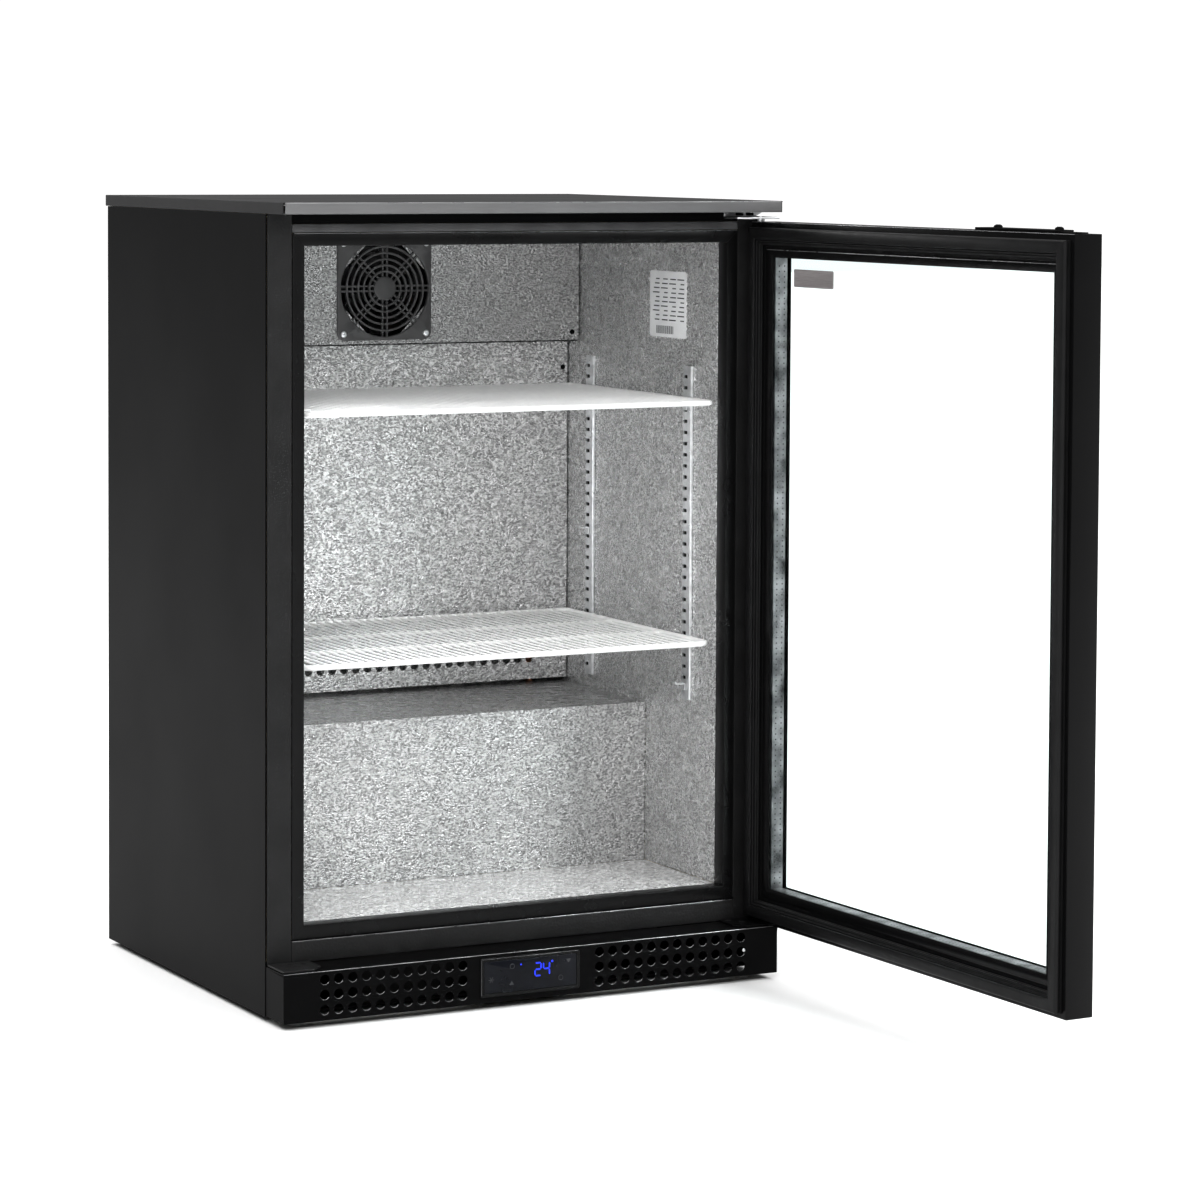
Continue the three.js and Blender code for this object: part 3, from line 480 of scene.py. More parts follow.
def add_frame(bm, profile, rectangle, sides=(0, 1, 2, 3), gap=0.0):
    """Mitred frame in the XZ plane. Profile points are (inset from the outer edge, y)."""
    x0, z0, x1, z1 = rectangle
    corners = ((x0, z0, 1, 1), (x1, z0, -1, 1), (x1, z1, -1, -1), (x0, z1, 1, -1))
    along = (Vector((1, 0, 0)), Vector((0, 0, 1)), Vector((-1, 0, 0)), Vector((0, 0, -1)))
    for s in sides:
        loops = []
        for (x, z, right, up), sign in ((corners[s], 1), (corners[(s + 1) % 4], -1)):
            shift = along[s] * gap * sign
            loops.append([Vector((x + right * u, y, z + up * u)) + shift for u, y in profile])
        add_loops(bm, loops, cap=bool(gap) or len(sides) < 4)


def add_sheet(bm, xs, zs, y, hole, holed):
    """A flat sheet of cells facing -Y, with the hole's loop left open in cells where holed(i, j)."""
    for i in range(len(xs) - 1):
        for j in range(len(zs) - 1):
            x0, x1, z0, z1 = xs[i], xs[i + 1], zs[j], zs[j + 1]
            corners = [bm.verts.new((x, y, z)) for x, z in ((x0, z0), (x1, z0), (x1, z1), (x0, z1))]
            if not holed(i, j):
                bm.faces.new(corners)
                continue
            cx, cz = (x0 + x1) / 2, (z0 + z1) / 2
            inner = [bm.verts.new((cx + a, y, cz + b)) for a, b in hole]
            quarter = len(inner) // 4
            middle = quarter // 2
            for c in range(4):
                first, last = c * quarter + middle, (c + 1) * quarter + middle
                arc = [inner[k % len(inner)] for k in range(last, first - 1, -1)]
                bm.faces.new([corners[c], corners[(c + 1) % 4], *arc])


def sheet(name, bm, slot, node, gauge, bevel, segments=2, look=None):
    """A bent sheet: the faces get their gauge first and are rounded after."""
    bmesh.ops.remove_doubles(bm, verts=bm.verts, dist=1e-3)
    made = piece(name, bm, slot, nodes=(node,), bevel=bevel, segments=segments, look=look)
    solid = made.modifiers.new("sheet", "SOLIDIFY")
    solid.thickness = gauge * MM
    solid.offset = -1
    made.modifiers.move(len(made.modifiers) - 1, 0)


def add_rail(bm, profile, x):
    """A profile of (y, z) points drawn out from x to -x."""
    add_prism(bm, profile, lambda y, z, end: Vector((x * (1 - 2 * end), y, z)))


def xz_ring(centre, points, y, scale=1.0):
    return [Vector((centre.x + a * scale, y, centre.z + b * scale)) for a, b in points]


def add_plate(bm, outline, size, steps, place):
    """A rounded plate in steps of (inset, height); place(a, b, height) gives the points."""
    loops = []
    for inset, height in steps:
        across, up = (1 - 2 * inset / length for length in size)
        loops.append([place(a * across, b * up, height) for a, b in outline])
    add_loops(bm, loops, cap=True)


def points_between(xs, y, zs):
    return [(x, y, z) for x in xs for z in zs]


def around(centre, angle):
    """A turn about the Y line through the centre."""
    centre = Vector(centre)
    turn = Matrix.Rotation(angle, 4, "Y")
    return Matrix.Translation(centre) @ turn @ Matrix.Translation(-centre)


def move_new(bm, start, matrix):
    bm.verts.ensure_lookup_table()
    bmesh.ops.transform(bm, matrix=matrix, verts=bm.verts[start:])


# ---- screws
def add_screw(bm, place, axis, radius, height):
    """A pan head with a cross recess, standing on a surface that faces along axis."""
    start = len(bm.verts)
    slot_depth = 0.45 * height
    dome = [
        (0, 0), (radius, 0), (radius, 0.35 * height), (0.86 * radius, 0.75 * height),
        (0.5 * radius, height),
    ]
    add_lathe(bm, dome, (0, 0, 0), "Z", 20)
    bar = 0.16 * radius
    for turn in (0, math.pi / 2):
        first = len(bm.verts)
        add_box(bm, (-0.55 * radius, -bar, height), (0.55 * radius, bar, height + 0.12 * slot_depth))
        move_new(bm, first, Matrix.Rotation(turn + 0.4, 4, "Z"))
    matrix = Matrix.Translation(place) @ Vector(axis).to_track_quat("Z", "Y").to_matrix().to_4x4()
    move_new(bm, start, matrix)


def screws(
    name, places, axis, body=CABINET, slot="zinc_steel", radius=3.6, place=None, height=1.8, look=None
):
    bm = bmesh.new()
    for point in places:
        add_screw(bm, point, axis, radius, height)
    piece(name, bm, slot, body, place=place, look=look)


EDGE_STEPS = 12


def painted_highlight_line(name, xs, y, zs, slot, body=CABINET, radius=0.45, place=None):
    """A thin light line laid along a folded or trimmed edge as a painted highlight, from (xs[0], zs[0]) to
    (xs[1], zs[1]).
    """
    bm = bmesh.new()
    start, end = Vector((xs[0], y, zs[0])), Vector((xs[1], y, zs[1]))
    points = [start.lerp(end, k / EDGE_STEPS) for k in range(EDGE_STEPS + 1)]
    add_tube(bm, points, radius, 8)
    piece(name, bm, slot, body, place=place, look="edge")


# ---- outer shell
def lid():
    low, high = mm_box("top_panel")
    skin = 1.2
    seam = 0.9
    tray = bmesh.new()
    add_box(tray, (low.x, low.y + skin, high.z - skin), high)
    for side in (-1, 1):
        x = high.x * side
        add_box(tray, (min(x, x - skin * side), low.y + skin + seam, low.z),
                (max(x, x - skin * side), high.y, high.z - skin / 2))
    add_box(tray, (low.x + skin, high.y - skin, low.z), (high.x - skin, high.y, high.z - skin / 2))
    piece("lid_tray", tray, "lid_steel", nodes=("top_panel",), bevel=0.45, look="lid_side")
    fascia = bmesh.new()
    profile = [
        (low.y + 2.2, high.z), (low.y + 0.9, high.z - 0.3), (low.y, high.z - 1.4), (low.y, low.z + 1.2),
        (low.y + 0.5, low.z + 0.3), (low.y + 1.4, low.z), (low.y + 7, low.z), (low.y + 7, low.z + skin),
        (low.y + 1.9, low.z + skin), (low.y + skin, high.z - 2.2), (low.y + 2.2, high.z - skin),
    ]
    add_rail(fascia, profile, low.x + 2.2)
    piece("lid_fascia", fascia, "lid_steel", bevel=0.15, segments=1)
    # painted highlight: a light line along the fascia's top edge
    level = high.z - 0.7
    painted_highlight_line("lid_front_edge", (low.x + 3, high.x - 3), low.y + 0.75, (level, level), "lid_steel")


FOAM_FRONT = -0.18


def shell():
    for node in ("left_side_panel", "right_side_panel", "rear_panel"):
        cad_copy(node, "black_steel", bevel=0.4)
    lid()

    def tuck(co):
        """Keeps the foam's front edge behind the frame."""
        if co.y < FOAM_FRONT - 0.025:
            co.y = FOAM_FRONT

    cad_copy("insulation", "insulation_foam", bevel=0.0, change=tuck)
    cad_copy("base_pan", "black_steel", bevel=0.4)
    low, high = mm_box("rear_panel")
    points = [
        (x, high.y, z)
        for x in (low.x + 14, 0, high.x - 14)
        for z in (low.z + 14, (low.z + high.z) / 2, high.z - 14)
        if x or z != (low.z + high.z) / 2
    ]
    screws("rear_panel_screws", points, (0, 1, 0), slot="black_steel")


def feet():
    for corner in ("front_left", "front_right", "rear_left", "rear_right"):
        node = corner + "_foot"
        low, high = mm_box(node)
        pad = 5.7
        profile = [(0, 0.6), (13, 0.6), (14, 0), (16.6, 0), (18, 1.2), (18, pad - 1), (17, pad), (4, pad)]
        z = pad
        pitch = 1.25
        while z + pitch < high.z:
            profile += [(4, z + 0.2), (3.4, z + pitch * 0.5), (4, z + pitch * 0.9)]
            z += pitch
        profile += [(3.4, high.z), (0, high.z)]
        bm = bmesh.new()
        x, y, _ = middle_of(low, high)
        add_lathe(bm, profile, (x, y, 0), "Z", 36)
        piece(node + "_turned", bm, "black_plastic", "foot_" + corner, (node,))


# ---- front frame
def header():
    """A dark band under the lid, with a rolled strip standing proud along its lower edge, coloured a lighter
    grey as painted light.
    """
    low, high = mm_box("header_rail")
    strip = 9.2
    band = bmesh.new()
    add_box(band, (low.x, low.y + 1.4, low.z + strip + 0.3), (high.x, high.y, high.z))
    piece("header_band", band, "black_steel", nodes=("header_rail",), bevel=0.2)
    rolled = bmesh.new()
    y, z, top = low.y, low.z, low.z + strip
    profile = [
        (y + 2.0, z), (y + 0.6, z), (y + 0.15, z + 0.3), (y, z + 0.9), (y + 0.5, top - 1.2),
        (y + 0.9, top - 0.3), (y + 1.5, top), (y + 2.0, top),
    ]
    add_rail(rolled, profile, low.x)
    # painted light: the strip takes a lighter grey copy of the leather coat
    piece("header_strip", rolled, "textured_steel", bevel=0.15, segments=1, look="header_steel_painted_light")


def sill():
    """The rail under the opening, rolled back along its upper edge."""
    low, high = mm_box("sill_rail")
    y, top = low.y, high.z
    profile = [
        (y + 2.0, low.z), (y + 0.5, low.z), (y, low.z + 0.5), (y, top - 2.4), (y + 0.26, top - 1.2),
        (y + 0.8, top - 0.35), (y + 1.5, top), (y + 2.0, top),
    ]
    bm = bmesh.new()
    add_rail(bm, profile, low.x)
    piece("sill_rail_rolled", bm, "textured_steel", nodes=("sill_rail",))
    # painted highlight: a light line along the rolled top edge
    level = top - 0.55
    painted_highlight_line("sill_edge", (low.x + 1, high.x - 1), y + 0.45, (level, level), "textured_steel")


def front_frame():
    for node in ("left_stile", "right_stile"):
        cad_copy(node, "textured_steel", bevel=0.5)
    header()
    sill()

    left, right = mm_box("left_breaker"), mm_box("right_breaker")
    top, bottom = mm_box("top_breaker"), mm_box("bottom_breaker")
    face, back = top[0].y, top[1].y
    nodes = ("bottom_breaker", "right_breaker", "top_breaker", "left_breaker")
    widths = (
        bottom[1].z - bottom[0].z, right[1].x - right[0].x, top[1].z - top[0].z, left[1].x - left[0].x,
    )
    # the mitres need one inset on all sides, so the frame starts from the opening and grows out
    inner = (left[1].x, bottom[1].z, right[0].x, top[0].z)
    for side, (node, width) in enumerate(zip(nodes, widths)):
        wall = 1.8
        profile = [
            (-width, face + 1.2), (-width + 0.25, face + 0.6), (-width + 1.1, face + 0.22),
            (-width + 2.3, face), (-1.3, face), (-0.4, face + 0.35), (0, face + 1.3),
            (0, back - 1.0), (-0.6, back), (-wall, back),
            (-wall, face + wall + 0.6), (-wall - 0.6, face + wall), (-width, face + wall),
        ]
        bm = bmesh.new()
        add_frame(bm, profile, inner, sides=(side,), gap=0.12)
        piece(node + "_strip", bm, "black_plastic", nodes=(node,))
    # painted highlight: a light line along the top breaker's upper edge
    ends = (left[0].x + 2, right[1].x - 2)
    level = top[1].z - 0.6
    painted_highlight_line("top_breaker_edge", ends, face + 0.55, (level, level), "black_plastic")


# ---- kick panel and controller
VENT_PITCH = 16.15
VENT_RADIUS = 5.5
VENT_ROW = 34.7
VENT_GROUPS = ((-252.0, 11), (75.0, 12))
VENT_HIGHLIGHT_ARC = slice(14, 23)
KICK_SCREW = (256, 36.5)


def kick():
    low, high = mm_box("kick_panel")
    half = VENT_PITCH / 2
    roll = 1.4
    xs = [low.x]
    vents = set()
    for start, count in VENT_GROUPS:
        for k in range(count):
            vents.add(len(xs))
            xs.append(start - half + k * VENT_PITCH)
        xs.append(start - half + count * VENT_PITCH)
    xs.append(high.x)
    rows = [VENT_ROW + (k - 1.5) * VENT_PITCH for k in range(4)]
    rolled = [
        (low.y + roll * (1 - math.cos(turn)), high.z - roll * (1 - math.sin(turn)))
        for turn in (math.pi / 8 * k for k in range(5))
    ]
    zs = [low.z, *rows, high.z - roll]
    ring = circle(VENT_RADIUS, 24, math.radians(-180))
    bm = bmesh.new()
    add_sheet(bm, xs, zs, low.y, ring, lambda i, j: i in vents and 1 <= j <= 3)
    front, back, flange = low.y, high.y, low.y + 16
    for a, b in zip(xs, xs[1:]):
        for (y0, z0), (y1, z1) in zip(rolled, [*rolled[1:], (back, high.z)]):
            add_face(bm, ((a, y0, z0), (b, y0, z0), (b, y1, z1), (a, y1, z1)))
        add_face(bm, ((b, front, low.z), (a, front, low.z), (a, flange, low.z), (b, flange, low.z)))
    for a, b in zip(zs, zs[1:]):
        for x, y0, y1 in ((low.x, back, front), (high.x, front, back)):
            add_face(bm, ((x, y0, a), (x, y1, a), (x, y1, b), (x, y0, b)))
    for x in (low.x, high.x):
        add_face(bm, ((x, back, zs[-1]), *((x, y, z) for y, z in rolled), (x, back, high.z)))
    sheet("kick_panel_sheet", bm, "black_steel", "kick_panel", 1.2, 0.6)
    # painted highlight: a light line along the kick's top front edge
    level = high.z - 0.4
    painted_highlight_line("kick_edge", (low.x + 0.8, high.x - 0.8), low.y + 0.4, (level, level), "black_steel")
    x, z = KICK_SCREW
    screws("kick_screw", [(x, low.y, z)], (0, -1, 0), radius=2.0)
    # painted highlights: light crescents along the lower rims of the vent holes
    vent_highlights = bmesh.new()
    for i in vents:
        for z in rows[:3]:
            centre = Vector(((xs[i] + xs[i + 1]) / 2, low.y + 0.5, z + half))
            arc = [centre + Vector((a, 0, b)) for a, b in circle(VENT_RADIUS - 0.1, 24)[VENT_HIGHLIGHT_ARC]]
            add_tube(vent_highlights, arc, 0.32, 6)
    piece("kick_vent_painted_highlights", vent_highlights, "black_steel", look="edge")


SEGMENTS = {
    "2": ((0, 1, 1), (1, 1, 0), (0, 0.5, 1), (0, 0, 0), (0, 0, 1)),
    "4": ((0, 1, 0), (1, 1, 0), (0, 0.5, 1), (1, 0, 0)),
}


def add_digit(bm, digit, x, z, width, height, y):
    """Seven-segment figure: each bar is (column, row, is it level)."""
    thick = 0.8
    half = height / 2
    for column, row, level in SEGMENTS[digit]:
        if level:
            a, b = (x + 1.1, z + row * height), (x + width - 1.1, z + row * height)
        else:
            base = z + (half if row == 1 else 0)
            a, b = (x + column * width, base + 1.1), (x + column * width, base + half - 1.1)
        flat = Vector((b[0] - a[0], 0, b[1] - a[1])).normalized()
        across = Vector((-flat.z, 0, flat.x)) * thick
        start, end = Vector((a[0], y, a[1])), Vector((b[0], y, b[1]))
        outline = [
            start - flat * thick * 0.8, start - across, end - across,
            end + flat * thick * 0.8, end + across, start + across,
        ]
        deep = Vector((0, 0.3, 0))
        add_loops(bm, [outline, [p + deep for p in outline]], cap=True)


def controller():
    low, high = mm_box("controller_body")
    panel_low, panel_high = mm_box("controller_touch_panel")
    cx, _, cz = middle_of(low, high)
    width, height = high.x - low.x, high.z - low.z
    inner_w, inner_h = panel_high.x - panel_low.x, panel_high.z - panel_low.z

    def stack(name, slot, node, *rings):
        """Rounded rectangles of (width, height, corner radius, y) skinned from back to front."""
        bm = bmesh.new()
        loops = []
        for w, h, radius, y in rings:
            loops.append([Vector((cx + a, y, cz + b)) for a, b in rounded_rectangle(w, h, radius, 6)])
        add_loops(bm, loops, cap=True)
        piece(name, bm, slot, nodes=(node,))

    lip_w, lip_h = inner_w + 0.4, inner_h + 0.4
    stack(
        "controller_bezel", "black_plastic", "controller_body", (width - 6, height - 6, 1.0, high.y),
        (width - 6, height - 6, 1.0, low.y + 1.7), (width, height, 2.6, low.y + 1.7),
        (width, height, 2.6, low.y + 0.9), (width - 0.8, height - 0.8, 2.4, low.y + 0.25),
        (width - 2.2, height - 2.2, 2.0, low.y), (inner_w + 1.6, inner_h + 1.6, 1.2, low.y),
        (lip_w, lip_h, 1.0, low.y + 0.7), (lip_w, lip_h, 1.0, low.y + 1.4),
    )
    rim_z, rim_x = height / 2 - 1.3, width / 2 - 1.3
    left, top = cx - rim_x, cz + rim_z
    # painted highlights: light lines on the bezel's top and left edges only, the sides the light falls on
    for name, xs, zs in (
        ("controller_top_edge", (left + 1, cx + rim_x - 1), (top, top)),
        ("controller_side_edge", (left, left), (cz - rim_z + 1, top - 1)),
    ):
        painted_highlight_line(name, xs, low.y + 0.25, zs, "black_plastic", radius=0.3)
    stack(
        "controller_glass", "display_screen", "controller_touch_panel",
        (inner_w, inner_h, 1.0, panel_high.y), (inner_w, inner_h, 1.0, panel_low.y + 0.3),
        (inner_w - 0.8, inner_h - 0.8, 0.8, panel_low.y),
    )
    display(panel_low.y - 0.12)


PRINT_HEIGHT = 0.25
DIGITS = {"places": (("2", -4.6), ("4", 5.6)), "level": 32.2, "width": 7.2, "height": 14.0}
LIGHT_DOTS = ((16.1, 46.6, 1.3), (-21.6, 46.3, 1.0))
STAR = {"x": -57.3, "z": 32.4, "reach": 3.4, "half": 0.35}
RING_ICONS = ((-32.2, 45.3), (26.6, 27.6))
ARROW_ICONS = ((-32.8, 27.0, 1), (36.0, 45.3, -1))


def display(face):
    """The lit figures, and a star, rings and arrows printed on the touch panel."""
    bm = bmesh.new()
    for digit, x in DIGITS["places"]:
        add_digit(bm, digit, x, DIGITS["level"], DIGITS["width"], DIGITS["height"], face)
    for x, z, r in LIGHT_DOTS:
        add_lathe(bm, [(r, 0), (r, PRINT_HEIGHT)], (x, face, z), "Y", 16)
    piece("controller_digits", bm, "display_screen", look="digits")

    bm = bmesh.new()
    x, z, reach, half = (STAR[k] for k in ("x", "z", "reach", "half"))
    for turn in range(3):
        start = len(bm.verts)
        add_box(bm, (x - reach, face, z - half), (x + reach, face + PRINT_HEIGHT, z + half))
        move_new(bm, start, around((x, face, z), turn * math.pi / 3))
    for x, z in RING_ICONS:
        add_tube(bm, [(x + a, face, z + b) for a, b in circle(2.6, 24)], 0.3, 6, closed=True)
    for x, z, up in ARROW_ICONS:
        arrow = [(x - 2.8, z - 2 * up), (x + 2.8, z - 2 * up), (x, z + 2.4 * up)]
        add_prism(bm, arrow, lambda a, b, end: Vector((a, face + PRINT_HEIGHT * end, b)))
    piece("controller_icons", bm, "display_screen", look="icons")


# ---- hinges, with their screws and bolts at (x, y)
SPARE_SCREWS = ((-276, -224), (-262, -226))
BRACKET_SCREWS = ((258, -222), (268, -236))
BOLT_XS = (259.0, 272.0)


def hinges():
    cad_copy("spare_hinge_plate", "textured_steel", bevel=0.5)
    cad_copy("bottom_hinge_bracket", "black_steel", bevel=0.4)
    cad_copy("top_hinge_bracket", "zinc_steel", bevel=0.4)
    under_door = mm_box("door_frame")[0].z - 0.4
    spare_top = mm_box("spare_hinge_plate")[1].z
    bracket_top = mm_box("bottom_hinge_bracket")[0].z + 2.2
    for name, top, spots in (
        ("spare_plate_screws", spare_top, SPARE_SCREWS),
        ("bottom_bracket_screws", bracket_top, BRACKET_SCREWS),
    ):
        height = max(0.4, min(1.8, (under_door - top) / 1.06))
        places = [(x, y, top) for x, y in spots]
        screws(name, places, (0, 0, 1), slot="textured_steel", radius=3.4, height=height)
    low, high = mm_box("top_hinge_bracket")
    bm = bmesh.new()
    z = high.z - 3.6
    for x in BOLT_XS:
        hexagon = [(x + a, low.y + 22 + b) for a, b in circle(5.0, 6)]
        add_prism(bm, hexagon, lambda a, b, end: Vector((a, b, z + 3.2 * end)))
    piece("top_bracket_bolts", bm, "black_steel", bevel=0.5)


# ---- liner and inner panels
def liner():
    for node in ("liner_left_wall", "liner_right_wall", "liner_ceiling", "liner_back_wall"):
        cad_copy(node, "stucco_aluminium", bevel=0.3, segments=1)
    floor = cad_copy("liner_floor", "stucco_aluminium", bevel=0.3, segments=1)
    # painted light: the floor takes a lighter, less metallic copy of the liner coat
    floor.data.materials[0] = MATERIALS["stucco_floor_painted_light"]
    step = cad_copy("liner_step", "stucco_aluminium", bevel=1.2, segments=3)
    # painted shade: the step takes a darker copy of the liner coat
    step.data.materials[0] = MATERIALS["stucco_step_painted_shade"]


FAN_MOUTH = 56.0
FAN_FLATS = 51.6
COVER_SCREWS = {"x": 245.4, "z": 707.4}


def fan_mouth():
    """The mouth in the cover: a circle with a flat across each corner."""
    points = []
    for a, b in circle(FAN_MOUTH, 64, math.radians(-180)):
        turn = math.atan2(b, a)
        off = (turn % (math.pi / 2)) - math.pi / 4
        reach = min(1.0, FAN_FLATS / FAN_MOUTH / math.cos(off))
        points.append((a * reach, b * reach))
    return points


def fan_cover():
    low, high = mm_box("fan_cover_panel")
    centre = (mm_box("fan_guard")[0] + mm_box("fan_guard")[1]) / 2
    half = 58.0
    xs = [low.x, centre.x - half, centre.x + half, high.x]
    zs = [low.z, centre.z - half, centre.z + half, high.z]
    bm = bmesh.new()
    add_sheet(bm, xs, zs, low.y, fan_mouth(), lambda i, j: (i, j) == (1, 1))
    for a, b in zip(xs, xs[1:]):
        points = ((a, low.y, low.z), (a, high.y, low.z), (b, high.y, low.z), (b, low.y, low.z))
        add_face(bm, points)
    # painted shade: the cover takes a darker copy of the liner coat
    sheet("fan_cover_sheet", bm, "stucco_aluminium", "fan_cover_panel", 1.5, 0.5, look="stucco_painted_shade")
    x, z = COVER_SCREWS["x"], COVER_SCREWS["z"]
    places = points_between((-x, x), low.y, (z,))
    screws("fan_cover_screws", places, (0, -1, 0), radius=4.2, look="black_steel")
    # painted shadow: a thin dark strip under the cover's lower edge
    shadow_strip = bmesh.new()
    add_box(shadow_strip, (low.x + 1, low.y + 0.2, low.z - 2.6), (high.x - 1, low.y + 5, low.z - 0.1))
    piece("fan_cover_painted_shadow_strip", shadow_strip, "stucco_aluminium", bevel=0.3, look="recess")


DUCT_HOLES = {"pitch": 15.15, "count": 28, "level": 314.5, "radius": 4.8}
DUCT_SCREWS = {"x": 248, "z": 664}


def duct():
    low, high = mm_box("duct_panel")
    pitch, count, level = (DUCT_HOLES[k] for k in ("pitch", "count", "level"))
    start = -pitch * count / 2
    xs = [low.x, *(start + k * pitch for k in range(count + 1)), high.x]
    zs = [low.z, level - pitch / 2, level + pitch / 2, high.z]
    ring = circle(DUCT_HOLES["radius"], 20, math.radians(-180))
    bm = bmesh.new()
    add_sheet(bm, xs, zs, low.y, ring, lambda i, j: j == 1 and 1 <= i <= count)
    sheet("duct_sheet", bm, "stucco_aluminium", "duct_panel", 1.5, 0.3, 1)
    x, z = DUCT_SCREWS["x"], DUCT_SCREWS["z"]
    places = points_between((-x, x), low.y, (z,))
    screws("duct_screws", places, (0, -1, 0), radius=4.2, look="black_steel")


LABEL_BOX = (-120.4, -33.6, 711.0, 787.0)
LABEL_ROWS = 10
LABEL_STRIPES = 24


def label():
    """A film with rows of plain dashes and stripes in place of the print."""
    x = mm_box("liner_right_wall")[0].x
    y0, y1, z0, z1 = LABEL_BOX
    middle_y, middle_z = (y0 + y1) / 2, (z0 + z1) / 2
    size = (y1 - y0, z1 - z0)
    bm = bmesh.new()
    add_plate(
        bm, rounded_rectangle(*size, 3.0, 4), size, ((0, 0), (0, -0.25), (0.4, -0.35)),
        lambda a, b, off: Vector((x + off, middle_y + a, middle_z + b)),
    )
    piece("blank_rating_label", bm, "stucco_aluminium", look="label")
    print_face = x - 0.4
    bars = bmesh.new()

    def bar(y, z, length, height):
        corners = ((y, z), (y + length, z), (y + length, z + height), (y, z + height))
        add_face(bars, [(print_face, a, b) for a, b in corners])

    for row in range(LABEL_ROWS):
        for column in range(4):
            length = 16 - 2.5 * ((row * 3 + column * 5) % 4)
            bar(y0 + 5 + 19.5 * column, z1 - 10 - 5.2 * row, length, 1.3)
    for stripe in range(LABEL_STRIPES):
        bar(y0 + 30 + 1.7 * stripe, z0 + 4, 0.5 + 0.4 * (stripe % 3), 9)
    piece("rating_label_bars", bars, "stucco_aluminium", look="icons")


# ---- fans
FAN_BORE = 56.5
CUP_RADIUS = 20


def housing(unit):
    """Square frame with a round bore, rounded corners, a motor cup and four curved struts."""
    node = unit + "_fan_housing"
    low, high = mm_box(node)
    centre = (low + high) / 2
    sides = 96
    square = rounded_square((high.x - low.x) / 2, 7.0, sides)
    bore, mouth = circle(FAN_BORE, sides), circle(FAN_BORE + 2.0, sides)
    bm = bmesh.new()
    rings = (
        (bore, low.y + 3), (mouth, low.y), (square, low.y, 0.985), (square, low.y + 1),
        (square, low.y + 4), (square, low.y + 4, 0.96), (square, high.y - 4, 0.96), (square, high.y - 4),
        (square, high.y - 1), (square, high.y, 0.985), (bore, high.y), (bore, low.y + 3),
    )
    add_loops(bm, [xz_ring(centre, *ring) for ring in rings])
    cup = [(0, 0), (CUP_RADIUS, 0), (CUP_RADIUS, 3.2), (CUP_RADIUS - 1, 4), (0, 4)]
    add_lathe(bm, cup, (centre.x, high.y - 4, centre.z), "Y", 36)
    for k in range(4):
        start = len(bm.verts)
        points = []
        for step in range(7):
            r = CUP_RADIUS - 2 + step * (FAN_BORE - 17) / 6
            bend = 0.35 * math.sin(math.pi * step / 6)
            points.append((centre.x + r * math.cos(bend), high.y - 2.2, centre.z + r * math.sin(bend)))
        add_tube(bm, points, 2.0, 8)
        move_new(bm, start, around(centre, math.pi / 4 + k * math.pi / 2))
    piece(unit + "_fan_frame", bm, "black_plastic", nodes=(node,), bevel=0.3, segments=1)


BLADES = 7


def rotor(unit):
    """Domed hub with pitched, swept blades."""
    body = unit + "_fan"
    pos = Vector(joint(body + "_spin")["pos_m"]) / MM
    bm = bmesh.new()
    hub = [(0, -8), (14, -8), (18.5, -6.5), (20, -4), (20, 8), (0, 8)]
    add_lathe(bm, hub, pos, "Y", 36)
    rows, columns = 8, 6
    for blade in range(BLADES):
        start = len(bm.verts)
        loops = []
        for i in range(rows + 1):
            r = 18 + i * 35.5 / rows
            pitch = math.radians(42 - 16 * i / rows)
            chord = 24 + 8 * i / rows
            sweep = 0.22 * (i / rows) ** 1.5
            front, back = [], []
            for j in range(columns + 1):
                s = (j / columns - 0.5) * chord
                camber = 1.6 * (1 - (2 * j / columns - 1) ** 2)
                turn = s * math.cos(pitch) / r + sweep
                y = s * math.sin(pitch) * 0.62 - camber
                thick = 0.9 * (1 - abs(2 * j / columns - 1) * 0.6)
                x, z = pos.x + r * math.cos(turn), pos.z + r * math.sin(turn)
                for side, offset in ((front, -thick), (back, thick)):
                    side.append(Vector((x, pos.y + y + offset, z)))
            loops.append(front + back[::-1])
        add_loops(bm, loops, cap=True)
        move_new(bm, start, around(pos, blade * 2 * math.pi / BLADES))
    piece(body + "_blades", bm, "black_plastic", body, (unit + "_fan_rotor",))


GUARD_BORE = 55.8
GUARD_RINGS = (20.0, 27.1, 34.2, 41.4, 48.8)


